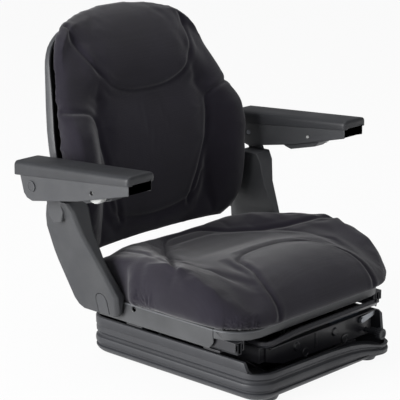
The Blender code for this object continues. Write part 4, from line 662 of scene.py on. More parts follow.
@dataclass
class Upholstery:
    """Cushion made from its CAD solid: remeshed, shaped, swelled as cloth, then sewn."""

    node: str
    seams: tuple[Seam, ...]
    voxel: float = 0.005
    pressure: float = 4.0
    cap: float = 0.006
    shrink: float = 0.002
    pin_reach: float = 0.007
    frames: int = 20
    fill: float = 0.9

    def shape(self, places: np.ndarray, surface: BVHTree) -> np.ndarray:
        """Moves the remeshed points onto the cushion's real form; plain cushions stay as they are."""
        return places

    def thicken(self, blank: bmesh.types.BMesh) -> None:
        """Fills out places too thin for the remesh; plain cushions have none."""

    def skin(self, data: bpy.types.Mesh) -> BVHTree:
        """Makes a mesh's skin searchable."""
        return BVHTree.FromPolygons([v.co for v in data.vertices], [f.vertices for f in data.polygons])

    def held(self, places: np.ndarray, normals: np.ndarray) -> np.ndarray:
        """Says how firmly each point is held while the cloth swells, from 0 to 1."""
        return np.zeros(len(places))

    def read(self, data: bpy.types.Mesh) -> tuple[np.ndarray, np.ndarray]:
        """Reads the points and normals of a mesh."""
        places = np.empty(len(data.vertices) * 3)
        data.vertices.foreach_get("co", places)
        normals = np.empty(len(data.vertices) * 3)
        data.vertex_normals.foreach_get("vector", normals)
        return places.reshape(-1, 3), normals.reshape(-1, 3)

    def write(self, data: bpy.types.Mesh, places: np.ndarray) -> None:
        """Writes points back to a mesh."""
        data.vertices.foreach_set("co", places.ravel())
        data.update()

    def relax(self, data: bpy.types.Mesh, rounds: int) -> None:
        """Smooths a mesh.

        Args:
            data: The mesh.
            rounds: How many times each point moves half way to the mean of its neighbours.
        """
        mesh = bmesh.new()
        mesh.from_mesh(data)
        for _ in range(rounds):
            bmesh.ops.smooth_vert(
                mesh, verts=mesh.verts, factor=0.5, use_axis_x=True, use_axis_y=True, use_axis_z=True
            )
        mesh.to_mesh(data)
        mesh.free()
        data.update()

    def swell(self, item: bpy.types.Object) -> None:
        """Inflates the cover as cloth that its seams hold down, and keeps what that does.

        Args:
            item: The cushion.
        """
        places, normals = self.read(item.data)
        hold = self.held(places, normals)
        surface = self.skin(item.data)
        for seam in self.seams:
            away, _ = seam_fields(places, laid(seam, surface))
            hold = np.maximum(hold, 0.9 * np.exp(-((away / self.pin_reach) ** 2)))
        item.vertex_groups.new(name="held")
        group = item.vertex_groups["held"]
        for level in range(1, 11):
            chosen = np.nonzero((hold > (level - 0.5) / 10) & (hold <= (level + 0.5) / 10))[0]
            if len(chosen):
                group.add(chosen.tolist(), level / 10, "REPLACE")
        cloth = item.modifiers.new("Cover", "CLOTH")
        settings = cloth.settings
        settings.quality = 4
        settings.mass = 0.35
        settings.tension_stiffness = settings.compression_stiffness = 12
        settings.shear_stiffness = 4
        settings.bending_stiffness = 0.6
        settings.use_pressure = True
        settings.uniform_pressure_force = self.pressure
        settings.vertex_group_mass = "held"
        settings.pin_stiffness = 1
        settings.effector_weights.gravity = 0
        cloth.collision_settings.use_collision = False
        cloth.point_cache.frame_start, cloth.point_cache.frame_end = 1, self.frames
        scene = bpy.context.scene
        for number in range(1, self.frames + 1):
            scene.frame_set(number)
        swollen = item.evaluated_get(bpy.context.evaluated_depsgraph_get()).data
        moved, _ = self.read(swollen)
        change = moved - places
        length = np.linalg.norm(change, axis=1, keepdims=True)
        change *= np.minimum(1.0, self.cap / np.maximum(length, 1e-9))
        item.modifiers.remove(cloth)
        item.vertex_groups.clear()
        scene.frame_set(1)
        self.write(item.data, places + change)

    def sew(self, data: bpy.types.Mesh) -> None:
        """Sinks each seam and raises its gathers.

        Args:
            data: The cushion's mesh.
        """
        places, normals = self.read(data)
        shift = np.zeros(len(places))
        surface = self.skin(data)
        for seam in self.seams:
            away, along = seam_fields(places, laid(seam, surface))
            shift -= seam.depth * np.exp(-((away / seam.width) ** 2))
            shift += 0.22 * seam.depth * np.exp(-(((away - 2.4 * seam.width) / (1.3 * seam.width)) ** 2))
            if seam.gathers:
                phase = 2 * np.pi * (along + 0.25 * np.sin(along * 260)) / seam.pitch
                near = np.exp(-((away / seam.reach) ** 2)) * (1 - np.exp(-((away / 0.003) ** 2)))
                shift += seam.gathers * np.cos(phase) * near
        self.write(data, places + normals * shift[:, None])

    def build(self) -> bpy.types.Object:
        """Makes the cushion.

        Returns:
            The piece, which replaces its CAD solid.
        """
        blank = merged(self.node)
        self.thicken(blank)
        item = linked(f"{self.node}_cover", blank, 180)
        remesh = item.modifiers.new("Even mesh", "REMESH")
        remesh.mode = "VOXEL"
        remesh.voxel_size = self.voxel
        data = evaluated(item)
        item.modifiers.clear()
        item.data = data
        self.relax(data, 4)
        places, _ = self.read(data)
        self.write(data, self.shape(places, self.skin(data)))
        self.relax(data, 3)
        places, normals = self.read(data)
        loose = 1 - self.held(places, normals)
        self.write(data, places - normals * (self.shrink * loose)[:, None])
        self.swell(item)
        self.relax(data, 1)
        finer = item.modifiers.new("Finer", "SUBSURF")
        finer.levels = finer.render_levels = 1
        data = evaluated(item)
        item.modifiers.clear()
        item.data = data
        self.sew(data)
        data.shade_smooth()
        settle(item, CLOTH, BODY_OF[self.node], self.node)
        return item


@dataclass
class SeatCushion(Upholstery):
    """Seat cushion: two side bolsters, a rear rim, a bowl and a raised thigh panel."""

    node: str = "seat_cushion"
    seams: tuple[Seam, ...] = (
        Seam(
            ((0, -21, 226), (50, -24, 226), (85, -45, 226), (100, -70, 225),
             (110, -100, 222), (122, -130, 217), (130, -155, 208), (133, -178, 195),
             (133, -187, 175), (135, -188, 152)),
            depth=0.0032, width=0.0042,
        ),
        Seam(
            ((0, 180, 202), (40, 177, 202), (65, 162, 202), (90, 135, 203),
             (115, 110, 203), (140, 78, 206), (165, 50, 212), (190, 25, 223),
             (212, 0, 233), (225, -20, 236)),
            depth=0.0034, width=0.0042,
        ),
        Seam(
            ((180, 160, 216), (187, 120, 225), (190, 88, 229), (205, 50, 236),
             (215, 10, 237)),
            depth=0.0016, width=0.0040,
        ),
        Seam(
            ((236, 70, 150), (239, 50, 148), (239, 25, 148)),
            depth=0.0008, gathers=0.0014, pitch=0.0085, reach=0.024,
        ),
        Seam(
            ((215, -128, 145), (195, -152, 143), (170, -170, 143)),
            depth=0.0008, gathers=0.0018, pitch=0.0080, reach=0.026,
        ),
    )
    columns: tuple[int, ...] = (0, 60, 100, 130, 155, 180, 205, 222)
    levels: tuple[tuple[int, tuple[int, ...]], ...] = (
        (-185, (178, 178, 177, 174, 168, 160, 150, 145)),
        (-165, (203, 202, 199, 194, 186, 176, 165, 158)),
        (-140, (217, 216, 213, 207, 200, 196, 193, 188)),
        (-110, (226, 225, 222, 214, 207, 206, 210, 212)),
        (-70, (228, 227, 223, 214, 209, 212, 220, 226)),
        (-30, (224, 222, 216, 211, 210, 215, 228, 235)),
        (10, (212, 211, 208, 206, 209, 218, 234, 236)),
        (50, (201, 201, 202, 204, 212, 228, 236, 226)),
        (90, (199, 199, 200, 205, 224, 231, 224, 216)),
        (120, (199, 199, 202, 211, 227, 227, 219, 210)),
        (150, (201, 202, 206, 216, 224, 221, 213, 204)),
        (172, (206, 207, 211, 218, 218, 213, 205, 196)),
        (190, (213, 215, 216, 216, 213, 206, 196, 186)),
        (200, (200, 200, 200, 200, 199, 196, 188, 180)),
    )
    half_widths: tuple[tuple[float, float], ...] = (
        (-0.192, 0.140), (-0.185, 0.165), (-0.165, 0.205), (-0.140, 0.229), (-0.110, 0.240), (-0.050, 0.242),
        (0.050, 0.242), (0.100, 0.224), (0.150, 0.216), (0.205, 0.200),
    )
    edge_inset: float = 0.016
    ends: tuple[float, float] = (-0.176, 0.188)
    foot: float = 0.150

    def level(self, x: float, y: float) -> float:
        """Reads the upper face's height in its table, which is in millimetres like the columns.

        Args:
            x: Place across the seat in metres.
            y: Place along it in metres.

        Returns:
            The height in metres.
        """
        columns = np.array(self.columns) / 1000
        across = [float(np.interp(abs(x), columns, np.array(row) / 1000)) for _, row in self.levels]
        return float(np.interp(y, np.array([along for along, _ in self.levels]) / 1000, across))

    def shape(self, places: np.ndarray, surface: BVHTree) -> np.ndarray:
        """Lifts the upper face to its heights; a rolled edge moves with the crest beside it."""
        for index, (x, y, z) in enumerate(places):
            if z < self.foot:
                continue
            along = min(max(y, self.ends[0]), self.ends[1])
            reach = between(self.half_widths, along) - self.edge_inset
            across = min(abs(x), reach)
            top = surface.ray_cast(Vector((math.copysign(across, x), along, 0.4)), Vector((0, 0, -1)))[0]
            if top is None:
                continue
            share = min((z - self.foot) / max(top[2] - self.foot, 0.01), 1.0)
            places[index][2] = z + (self.level(across, along) - top[2]) * share
        return places

    def held(self, places: np.ndarray, normals: np.ndarray) -> np.ndarray:
        """Holds what sits in the pan, and the sides between the brackets."""
        low = np.clip((0.138 - places[:, 2]) / 0.006, 0, 1)
        behind = np.clip((places[:, 1] - 0.060) / 0.02, 0, 1)
        neck = behind * np.clip((np.abs(places[:, 0]) - 0.196) / 0.01, 0, 1)
        return np.maximum(low, neck)


@dataclass
class BackCushion(Upholstery):
    """Backrest cushion: a head panel, two wings and a dished middle over a lumbar seam."""

    node: str = "backrest_cushion"
    foot_drop: float = 0.015
    seat_depth: float = 0.030
    least_foam: float = 0.013
    head_foot: float = 0.575
    head_squeeze: float = 0.87
    edge_inset: float = 0.016
    ends: tuple[float, float] = (0.224, 0.628)
    blank_depth: float = 0.046
    shell_depth: float = 0.016
    filled_from: tuple[float, float] = (0.552, 0.575)
    seams: tuple[Seam, ...] = (
        Seam(
            ((0, 266, 481), (52, 266, 485), (95, 265, 501), (122, 270, 528),
             (141, 286, 558), (148, 308, 580), (150, 330, 600), (146, 345, 614)),
            depth=0.0034, onto=(0.0, 1.0, 0.0),
        ),
        Seam(
            ((228, 262, 470), (206, 262, 469), (186, 260, 466), (168, 258, 459),
             (153, 252, 446), (149, 248, 428), (148, 246, 411), (138, 242, 364),
             (120, 243, 316), (104, 247, 270), (94, 252, 240)),
            depth=0.0034, onto=(0.0, 1.0, 0.0),
        ),
        Seam(
            ((128, 243, 296), (121, 246, 275), (111, 250, 259), (84, 250, 245),
             (43, 250, 237), (0, 250, 234)),
            depth=0.0022, onto=(0.0, 1.0, 0.0),
        ),
    )
    edge: tuple[tuple[float, float], ...] = (
        (0.215, 0.242), (0.240, 0.229), (0.290, 0.217), (0.330, 0.214), (0.390, 0.215), (0.430, 0.226),
        (0.452, 0.242), (0.475, 0.263), (0.525, 0.290), (0.585, 0.326), (0.648, 0.350),
    )
    middle: tuple[tuple[float, float], ...] = (
        (0.207, 0.258), (0.250, 0.249), (0.300, 0.241), (0.370, 0.238), (0.430, 0.247), (0.478, 0.266),
        (0.520, 0.264), (0.560, 0.279), (0.610, 0.312), (0.648, 0.345),
    )

    def front(self, x: float, z: float, half: float) -> float:
        """Place of the front face.

        Args:
            x: Place across the back.
            z: Height.
            half: Half width of the back at that height.

        Returns:
            The front face's Y.
        """
        across = min(abs(x) / max(half, 0.01), 1)
        edge, middle = between(self.edge, z), between(self.middle, z)
        bolster = rise(0.60, 0.85, across)
        crown = -0.010 * math.sin(math.pi * min(max((across - 0.6) / 0.4, 0), 1))
        return middle + (edge - middle) * bolster + crown + 0.006 * rise(0.50, 0.60, across) * (1 - bolster)

    def half_width(self, z: float) -> float:
        """Half width of the back at a height.

        Args:
            z: Height.

        Returns:
            The half width.
        """
        if z < 0.262:
            return 0.180 + math.sqrt(max(0.055**2 - (0.262 - z) ** 2, 0))
        if z < 0.438:
            return 0.241 - 0.006 * (1 - rise(0.326, 0.401, z))
        if z < 0.586:
            notch = 0.007 * math.exp(-(((z - 0.466) / 0.014) ** 2))
            return 0.241 - 0.056 * ((z - 0.438) / 0.148) ** 1.25 - notch
        return 0.185 * math.sqrt(max(1 - ((z - 0.586) / 0.062) ** 2.4, 0))

    def thicken(self, blank: bmesh.types.BMesh) -> None:
        """Moves the back of the head towards the shell, where the solid thins out at its corners."""
        blank.normal_update()
        for vert in blank.verts:
            depth = shell_rear(vert.co.x, vert.co.z) - vert.co.y
            share = rise(*self.filled_from, vert.co.z)
            if 0.020 < depth < 0.037 and vert.normal.y > 0.1:
                vert.co.y += (depth - self.shell_depth) * share
            elif vert.normal.y < -0.1 and depth < self.blank_depth:
                vert.co.y -= (self.blank_depth - depth) * share * rise(0.650, 0.632, vert.co.z)

    def shape(self, places: np.ndarray, surface: BVHTree) -> np.ndarray:
        """Brings the front face to its rule, the head to its narrower top and the foot down."""
        for index, (x, y, z) in enumerate(places):
            up = min(max(z, self.ends[0]), self.ends[1])
            half = self.half_width(up)
            across = min(abs(x), max(half - self.edge_inset, 0.005))
            seen = surface.ray_cast(Vector((math.copysign(across, x), -0.2, up)), Vector((0, 1, 0)))[0]
            rear = shell_rear(x, z) - self.seat_depth
            if seen is not None and y < rear:
                share = min((rear - y) / max(rear - seen[1], 0.01), 1.0)
                goal = min(self.front(across, up, half), rear - self.least_foam)
                places[index][1] = y + (goal - seen[1]) * share
            places[index][2] = z - self.foot_drop * (1 - rise(0.215, 0.300, z))
            if z > self.head_foot:
                places[index][2] = self.head_foot + (z - self.head_foot) * self.head_squeeze
                places[index][0] = x * (1 - 0.03 * rise(self.head_foot, 0.600, z))
        return places

    def held(self, places: np.ndarray, normals: np.ndarray) -> np.ndarray:
        """Holds what sits in the shell, and the sides between the brackets."""
        rear = shell_rear(places[:, 0], places[:, 2])
        inside = np.clip((places[:, 1] - rear + 0.034) / 0.006, 0, 1)
        below = np.clip((0.345 - places[:, 2]) / 0.01, 0, 1)
        neck = below * np.clip((np.abs(places[:, 0]) - 0.215) / 0.008, 0, 1)
        return np.maximum(inside, neck)


# Hard parts


@dataclass
class TubBase:
    """Moulded tub: folds round its wall, a rolled front lip and feet."""

    half_x: float = 0.200
    front: float = -0.199
    rear: float = 0.241
    corner: float = 0.045
    height: float = 0.080
    wall: float = 0.003
    floor_inset: float = 0.050
    turn: float = 0.030
    foot_places: tuple[tuple[float, float], ...] = (
        (-0.142, -0.168), (0.142, -0.168), (-0.142, 0.210), (0.142, 0.210),
    )
    lip: tuple[tuple[float, float], ...] = (
        (-0.200, 0.060), (-0.120, 0.059), (0.0, 0.057), (0.060, 0.053), (0.100, 0.046), (0.132, 0.036),
        (0.154, 0.030), (0.200, 0.026),
    )

    def sections(self) -> list[tuple[float, float]]:
        """Lists the wall's section.

        Returns:
            (inset, height) pairs up the outside and down the inside.
        """
        turn = [math.radians(90 * i / 8) for i in range(9)]
        outside = [(self.floor_inset * (1 - math.sin(t)), 0.024 * (1 - math.cos(t))) for t in turn[:-1]]
        outside += [(0.0008, 0.0215), (0.0035, 0.0235), (0.0035, 0.0262), (0.0006, 0.0285)]
        outside += [(0.0, 0.031), (0.0, 0.037), (0.0008, 0.0395), (0.003, 0.0412), (0.0045, 0.0435)]
        outside += [(0.0045, 0.046), (0.0030, 0.0488), (0.0015, 0.0500), (0.0012, 0.058)]
        outside += [(0.0018, 0.0605), (0.0018, 0.0618), (0.0006, 0.0640), (0.0004, 0.077)]
        outside += [(0.0010, 0.0790), (0.0022, 0.080)]
        inner = self.wall + 0.004
        inside = [(inner - 0.0012, 0.080), (inner, 0.0788), (inner, 0.060), (inner, self.turn + self.wall)]
        inside += [
            (
                inner + (self.floor_inset - 0.004) * (1 - math.sin(t)),
                self.wall + self.turn * (1 - math.cos(t)),
            )
            for t in reversed(turn[:-1])
        ]
        return outside + inside

    def rim(self, x: float, y: float) -> float:
        """Height of the rim, which drops to a lip across the front.

        Args:
            x: Place across.
            y: Place along.

        Returns:
            The rim's height there.
        """
        low = between(self.lip, x)
        return low + (self.height - low) * rise(self.front + 0.030, self.front + 0.040, y)

    def build(self) -> bpy.types.Object:
        """Makes the tub and its feet.

        Returns:
            The piece.
        """
        steps, side = 10, 20
        count = 4 * (steps + side)
        skin = Loft(count)
        for inset, level in self.sections():
            corner = max(self.corner - inset, 0.003)
            loop = rounded_loop(
                self.half_x - inset, self.front + inset, self.rear - inset, corner, corner, steps, side
            )

            def point(number: int, loop: list = loop, level: float = level) -> tuple[float, float, float]:
                x, y = loop[number]
                rim = self.rim(x, y)
                squeeze = min(1.0, rim / 0.059) if level > 0.02 else 1.0
                return x, y, min(level * squeeze, rim)

            skin.ring(point)
        tub = settle(skin.finish("base_tub_moulding", 28), TUB_PLASTIC, "base", "base_tub")
        profile = [(0.0, 0.0), (0.0155, 0.0), (0.0168, 0.0006), (0.0178, 0.0020), (0.0285, 0.0240),
                   (0.0, 0.0240)]
        for number, place in enumerate(self.foot_places):
            turned(f"tub_foot_{number}", profile, (*place, 0.0), (0, 0, 1), TUB_PLASTIC, "base")
        return tub


@dataclass
class Suspension:
    """Scissor suspension between its two frames, with its springs, damper and adjusters."""

    spring_x: float = 0.050
    spring_z: float = 0.046
    spring_turns: int = 22
    turn_steps: int = 16
    coil_radius: float = 0.0075
    wire_radius: float = 0.0015
    coil_ends: tuple[float, float] = (-0.093, 0.112)
    hook_places: tuple[float, float] = (-0.108, 0.128)
    hook_radii: tuple[float, float] = (0.0073, 0.0063)
    hook_angle: float = 1.6
    knob_place: Point = (0.165, -0.190, 0.046)
    pad_ribs: int = 22
    rib_start: Point = (0.054, -0.1485, 0.0880)
    rib_size: Point = (0.0026, 0.004, 0.017)
    rib_pitch: float = 0.0040
    boss_places: tuple[Point, ...] = ((-0.015, -0.1480, 0.0485), (0.100, -0.1480, 0.0450))

    def springs(self) -> None:
        """Winds the two weight springs with a hook at each end."""
        level, radius, bend = self.spring_z, self.coil_radius, self.hook_angle
        start, end = self.coil_ends
        (front, rear), (front_radius, rear_radius) = self.hook_places, self.hook_radii
        steps = self.spring_turns * self.turn_steps
        for name, x in (("left", self.spring_x), ("right", -self.spring_x)):
            coil = []
            for i in range(steps + 1):
                angle = 2 * math.pi * i / self.turn_steps
                y = start + (end - start) * i / steps
                coil.append((x + radius * math.sin(angle), y, level + radius * math.cos(angle)))
            turns = np.linspace(-bend, bend, 9)
            low = [(x, front - front_radius * math.cos(a), level - front_radius * math.sin(a)) for a in turns]
            turns = np.linspace(bend, -bend, 9)
            high = [(x, rear + rear_radius * math.cos(a), level + rear_radius * math.sin(a)) for a in turns]
            tube(
                f"weight_spring_wire_{name}", low + coil + high, self.wire_radius, ZINC, "upper_frame",
                f"weight_spring_{name}",
            )

    def build(self) -> None:
        """Dresses the frames, arms, rods and adjusters."""
        for node in ("lower_frame", "upper_frame", "outer_scissor_arms", "inner_scissor_arms", "damper_tube",
                     "spring_anchor_bar"):
            refined(node, BLACK_PAINT, 0.0008)
        refined("front_panel", BLACK_PAINT, 0.0012)
        for node in ("rear_lower_pivot_rod", "rear_upper_pivot_rod", "upper_glide_rod", "lower_glide_rod",
                     "damper_lower_pin", "damper_upper_pin", "damper_piston_rod", "centre_pin_left",
                     "centre_pin_right", "weight_spindle", "height_lever", "height_lever_pin"):
            refined(node, ZINC, 0.0005, 2)
        for node in ("upper_glide_left", "upper_glide_right", "lower_glide_left", "lower_glide_right"):
            refined(node, NYLON, 0.0008)
        for side in ("left", "right"):
            refined(f"lower_rail_{side}", RAIL_STEEL, 0.0005, 2)
            refined(f"upper_rail_{side}", BLACK_PAINT, 0.0008)
        self.springs()
        profile = [(0.0, 0.0015), (0.0050, 0.0015), (0.0056, 0.0004), (0.0064, 0.0), (0.0095, 0.0),
                   (0.0106, 0.0004), (0.0110, 0.0012), (0.0110, 0.0118), (0.0106, 0.0126), (0.0090, 0.0134),
                   (0.0085, 0.0145), (0.0085, 0.0270), (0.0082, 0.028), (0.0, 0.028)]
        turned("weight_knob_grip", profile, self.knob_place, (0, 1, 0), TUB_PLASTIC, "adjuster",
               "weight_knob", ribs=18, rib_depth=0.0008, sides=108)
        mesh = bmesh.new()
        x, y, z = self.rib_start
        size = Matrix.Diagonal((*self.rib_size, 1))
        for number in range(self.pad_ribs):
            place = Matrix.Translation((x + number * self.rib_pitch, y, z))
            bmesh.ops.create_cube(mesh, size=1, matrix=place @ size)
        bmesh.ops.bevel(
            mesh, geom=list(mesh.edges), offset=0.0005, segments=2, profile=0.5, affect="EDGES", material=-1
        )
        settle(linked("ribbed_pad", mesh), RUBBER, "upper_frame")
        for number, place in enumerate(self.boss_places):
            boss = [(0.0, 0.0), (0.0095, 0.0), (0.0095, 0.0018), (0.0086, 0.0028), (0.0066, 0.0030),
                    (0.0058, 0.0022), (0.0, 0.0022)]
            turned(f"panel_boss_{number}", boss, place, (0, -1, 0), BLACK_PAINT, "upper_frame")


@dataclass
class SeatPan:
    """Pressed pan with a rolled rim, and the slide handle under its front edge."""

    half_x: float = 0.2152
    front: float = -0.1622
    rear: float = 0.1942
    front_corner: float = 0.060
    rear_corner: float = 0.030
    rim_height: float = 0.1313
    rim_radius: float = 0.0019

    def build(self) -> None:
        """Dresses the pan, the handle and the hinge plates."""
        refined("seat_pan", PAN_PAINT, 0.0015)
        loop = rounded_loop(self.half_x, self.front, self.rear, self.front_corner, self.rear_corner, 12, 6)
        route = [(x, y, self.rim_height) for x, y in loop]
        # The rolled rim is drawn in a pale colour that is a painted highlight
        tube("pan_rolled_rim", route, self.rim_radius, PAN_RIM_PAINTED_HIGHLIGHT, "seat", cyclic=True)
        refined("slide_handle", BLACK_PAINT, 0.0)
        for node in ("handle_pin_left", "handle_pin_right", "recline_hinge_left", "recline_hinge_right"):
            refined(node, ZINC, 0.0005, 2)


@dataclass
class BackShell:
    """Moulded shell behind the back cushion, and the tube frame inside it."""

    wall: float = 0.0035
    centre: float = 0.411
    half_widths: tuple[tuple[float, float], ...] = (
        (0.207, 0.0), (0.2072, 0.100), (0.2078, 0.180), (0.2100, 0.196), (0.2150, 0.2085), (0.2240, 0.2200),
        (0.2380, 0.2300), (0.2540, 0.2350), (0.3260, 0.2355), (0.3700, 0.2395), (0.3950, 0.2410),
        (0.4330, 0.2365), (0.4730, 0.2275), (0.5240, 0.2140), (0.5500, 0.2075), (0.5640, 0.2010),
        (0.5780, 0.1900), (0.5900, 0.1740), (0.6000, 0.1520), (0.6080, 0.1200), (0.6130, 0.0850),
        (0.6155, 0.0400), (0.6160, 0.0),
    )

    def outline(self, steps: int) -> list[tuple[float, float]]:
        """Walks round the shell in even steps.

        Args:
            steps: Steps up one side.

        Returns:
            (x, z) points, up the side of positive X and down the other.
        """
        places = np.array([(x, z) for z, x in self.half_widths])
        run = np.concatenate(([0.0], np.cumsum(np.linalg.norm(np.diff(places, axis=0), axis=1))))
        even = np.linspace(0, run[-1], steps + 1)
        side = list(zip(np.interp(even, run, places[:, 0]), np.interp(even, run, places[:, 1])))
        return side + [(-x, z) for x, z in reversed(side[1:-1])]

    def build(self) -> None:
        """Makes the shell and dresses the frame."""
        loop = self.outline(56)
        skin = Loft(len(loop))
        inner = 1 - self.wall / 0.2
        sections = [(0.25, 0.0), (0.5, 0.0), (0.75, 0.0), (0.93, 0.0), (0.975, 0.0010), (0.993, 0.0035)]
        sections += [(1.0, 0.0075), (1.0, 0.0215), (0.998, 0.0228), (inner, 0.0228)]
        sections += [(inner - 0.004, 0.0215), (inner - 0.006, 0.0090)]
        sections += [(0.90, 0.0045), (0.75, 0.0035), (0.5, 0.0035), (0.25, 0.0035)]
        for share, depth in sections:
            def point(number: int, share: float = share, depth: float = depth) -> Point:
                x, z = loop[number]
                x, z = x * share, self.centre + (z - self.centre) * share
                reach = depth if depth < 0.010 else depth - 0.009 * rise(0.46, 0.60, z)
                return x, shell_rear(x, z) - reach, z

            skin.ring(point)
        settle(skin.finish("backrest_shell_moulding", 40), COVER_PLASTIC, "backrest", "backrest_shell")
        refined("backrest_frame", BLACK_PAINT, 0.0)


@dataclass
class SideBrackets:
    """Flared covers that carry the backrest and the armrests."""

    def build(self) -> None:
        """Dresses both brackets and the tongues over their hinges."""
        for side in ("left", "right"):
            refined(f"side_bracket_{side}", COVER_PLASTIC, 0.002, 4)
            refined(f"hinge_cover_{side}", COVER_PLASTIC, 0.0006, 2)
            refined(f"armrest_pivot_{side}", ZINC, 0.0005, 2)


@dataclass
class Armrests:
    """Folding arms: a moulded body, a foam pad, a pivot cap and a tilt wheel."""

    inner: float = 0.264
    outer: float = 0.330
    front: float = -0.009
    rear: float = 0.290
    cap_place: Point = (0.3263, 0.245, 0.353)
    pin_place: Point = (0.268, 0.088, 0.368)
    pin_radius: float = 0.003
    pin_length: float = 0.0525
    wheel_middle: float = 0.311
    wheel_half: float = 0.0075

    def top(self, y: float) -> float:
        """Height of the pad's upper face.

        Args:
            y: Place along the arm.

        Returns:
            The height.
        """
        return 0.415 - 0.020 * (y - self.front) / (self.rear - self.front)

    def pad(self, name: str, side: int) -> None:
        """Makes a pad whose skirt hangs over the arm's sides.

        Args:
            name: left or right.
            side: 1 or -1.
        """
        middle, half = (self.inner + self.outer) / 2, (self.outer - self.inner) / 2
        section = [(-half + 0.0035, -0.014), (-half + 0.0035, -1.0), (-half + 0.0016, -1.02), (-half, -0.96)]
        section += [(-half, -0.010), (-half + 0.0006, -0.0065), (-half + 0.0025, -0.0035)]
        section += [(-half + 0.0055, -0.0014), (-half + 0.010, -0.0004), (-half * 0.4, 0.0)]
        section += [(-x, z) for x, z in reversed(section)]
        skin = Loft(len(section))
        ends = ((0.0, 0.0065), (0.0006, 0.0035), (0.0022, 0.0014), (0.0050, 0.0003), (0.0090, 0.0))
        stations = [(self.front + away, pull) for away, pull in ends]
        stations += [(self.front + 0.009 + 0.281 * i / 12, 0.0) for i in range(1, 12)]
        stations += [(self.rear - away, pull) for away, pull in reversed(ends)]
        for y, pull in stations:
            top = self.top(y)
            skirt = 0.018 + 0.009 * (y - self.front) / (self.rear - self.front)

            def point(
                number: int, y: float = y, pull: float = pull, top: float = top, skirt: float = skirt
            ) -> Point:
                x, z = section[number]
                drop = -z * skirt if z < -0.9 else -z
                x = math.copysign(max(abs(x) - pull, 0.0), x)
                return side * (middle + x), y, top - min(max(drop, pull), skirt)

            skin.ring(point)
        settle(skin.finish(f"armrest_cushion_{name}", 40), ARM_FOAM, f"armrest_{name}", f"armrest_pad_{name}")

    def build(self) -> None:
        """Makes both arms."""
        for name, side in (("left", 1), ("right", -1)):
            self.pad(name, side)
            refined(f"armrest_body_{name}", COVER_PLASTIC, 0.0016)
            cap = [(0.0, 0.0), (0.0100, 0.0), (0.0105, 0.0006), (0.0105, 0.0014), (0.0100, 0.0020),
                   (0.0078, 0.0020), (0.0070, 0.0012), (0.0, 0.0012)]
            x, y, z = self.cap_place
            turned(f"pivot_cap_{name}", cap, (side * x, y, z), (side, 0, 0), COVER_PLASTIC,
                   f"armrest_{name}", f"armrest_cap_{name}")
            x, y, z = self.pin_place
            pin, pin_end = self.pin_radius, self.pin_length
            near, far = self.wheel_middle - self.wheel_half - x, self.wheel_middle + self.wheel_half - x
            wheel = [(0.0, 0.0), (pin, 0.0), (pin, near), (0.0185, near), (0.0202, near + 0.0005),
                     (0.0210, near + 0.0015), (0.0210, far - 0.0015), (0.0202, far - 0.0005), (0.0185, far),
                     (pin, far), (pin, pin_end), (0.0, pin_end)]
            turned(f"tilt_wheel_rim_{name}", wheel, (side * x, y, z), (side, 0, 0), PALE_PLASTIC,
                   f"wheel_{name}", f"tilt_wheel_{name}", ribs=24, rib_depth=0.0010, sides=144)


# Studio


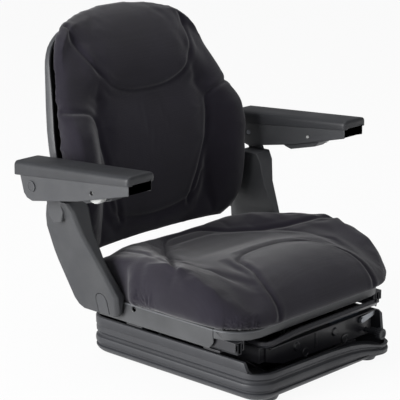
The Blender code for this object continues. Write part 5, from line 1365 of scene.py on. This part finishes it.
@dataclass
class Studio:
    """Pale floor, soft lamps and the photograph's camera."""

    azimuth: float = -46.97
    elevation: float = 15.22
    place: Point = (-2.43979, -2.14723, 1.19154)
    lens: float = 162.69
    aim: Point = (0, 0.05, 0.3)
    floor_glow: float = 0.93
    lamps: tuple[tuple[str, Point, float, float], ...] = (
        ("key", (-3.0, 0.9, 1.1), 2.0, 135),
        ("overhead", (0.3, 0.4, 3.0), 2.0, 20),
        ("front_fill", (-0.6, -3.2, 1.4), 2.2, 13),
    )

    def camera(self) -> None:
        """Sets the camera where the photograph was taken."""
        turn, tilt = math.radians(self.azimuth), math.radians(self.elevation)
        back = Vector((math.sin(turn) * math.cos(tilt), -math.cos(turn) * math.cos(tilt), math.sin(tilt)))
        right = Vector((math.cos(turn), math.sin(turn), 0))
        up = back.cross(right)
        data = bpy.data.cameras.new("camera")
        data.lens = self.lens
        data.sensor_width = 36
        data.clip_end = 50
        camera = bpy.data.objects.new("camera", data)
        camera.matrix_world = Matrix.Translation(self.place) @ Matrix((right, up, back)).transposed().to_4x4()
        bpy.context.scene.collection.objects.link(camera)
        bpy.context.scene.camera = camera

    def lamp(self, name: str, place: Point, size: float, power: float) -> None:
        """Hangs a square soft lamp.

        Args:
            name: Its name.
            place: Where it hangs.
            size: Its side.
            power: Its power in watts.
        """
        data = bpy.data.lights.new(name, "AREA")
        data.size = size
        data.energy = power
        lamp = bpy.data.objects.new(name, data)
        lamp.location = place
        lamp.rotation_euler = (Vector(place) - Vector(self.aim)).to_track_quat("Z", "Y").to_euler()
        bpy.context.scene.collection.objects.link(lamp)

    def seen(self, tree: bpy.types.NodeTree) -> bpy.types.NodeSocket:
        """Adds up the rays that see the background: camera, glossy and transmission rays."""
        path = add_node(tree, "ShaderNodeLightPath")
        first = add_node(
            tree, "ShaderNodeMath", {0: path.outputs["Is Camera Ray"], 1: path.outputs["Is Glossy Ray"]},
            operation="MAXIMUM",
        )
        return add_node(
            tree, "ShaderNodeMath", {0: first.outputs[0], 1: path.outputs["Is Transmission Ray"]},
            operation="MAXIMUM",
        ).outputs[0]

    def floor(self) -> None:
        """Lays a pale floor that shows white but keeps the seat's shadow."""
        mesh = bmesh.new()
        bmesh.ops.create_grid(mesh, x_segments=1, y_segments=1, size=7)
        floor = linked("floor", mesh)
        material = bpy.data.materials.new("pale_studio_floor")
        material.use_nodes = True
        tree = material.node_tree
        tree.nodes.remove(tree.nodes["Principled BSDF"])
        place = add_node(tree, "ShaderNodeTexCoord").outputs["Object"]
        cloud = add_node(tree, "ShaderNodeTexNoise", {"Vector": place, "Scale": 0.8, "Detail": 2.0})
        tone = add_node(
            tree, "ShaderNodeMix",
            {"Factor": cloud.outputs["Fac"], 6: to_linear("#ededed"), 7: to_linear("#f4f4f4")},
            data_type="RGBA",
        )
        matt = add_node(tree, "ShaderNodeBsdfDiffuse", {"Color": tone.outputs[2]})
        glow = add_node(tree, "ShaderNodeEmission", {"Color": (1, 1, 1, 1), "Strength": 1.0})
        share = add_node(
            tree, "ShaderNodeMath", {0: self.seen(tree), 1: self.floor_glow}, operation="MULTIPLY"
        )
        mixed = add_node(
            tree, "ShaderNodeMixShader", {0: share.outputs[0], 1: matt.outputs[0], 2: glow.outputs[0]}
        )
        tree.links.new(mixed.outputs[0], tree.nodes["Material Output"].inputs["Surface"])
        floor.data.materials.append(material)

    def world(self) -> None:
        """Fills the room with pale light and shows it white."""
        world = bpy.data.worlds.new("studio")
        bpy.context.scene.world = world
        world.use_nodes = True
        tree = world.node_tree
        output = tree.nodes["World Output"]
        dim = tree.nodes["Background"]
        dim.inputs["Color"].default_value = to_linear("#f2f3f6")
        dim.inputs["Strength"].default_value = 0.32
        path = add_node(tree, "ShaderNodeLightPath")
        white = add_node(tree, "ShaderNodeBackground", {"Color": (1, 1, 1, 1), "Strength": 1.0})
        mixed = add_node(
            tree, "ShaderNodeMixShader",
            {0: path.outputs["Is Camera Ray"], 1: dim.outputs[0], 2: white.outputs[0]},
        )
        tree.links.new(mixed.outputs[0], output.inputs["Surface"])

    def build(self) -> None:
        """Sets up the studio."""
        bpy.context.scene.view_settings.view_transform = "Standard"
        self.camera()
        self.floor()
        self.world()
        for name, place, size, power in self.lamps:
            self.lamp(name, place, size, power)


def main() -> None:
    """Builds the studio and every piece of the seat."""
    logging.basicConfig(level=logging.INFO, format="%(name)s: %(message)s")
    Studio().build()
    TubBase().build()
    Suspension().build()
    SeatPan().build()
    BackShell().build()
    SideBrackets().build()
    Armrests().build()
    SeatCushion().build()
    BackCushion().build()


if __name__ == "__main__":
    main()
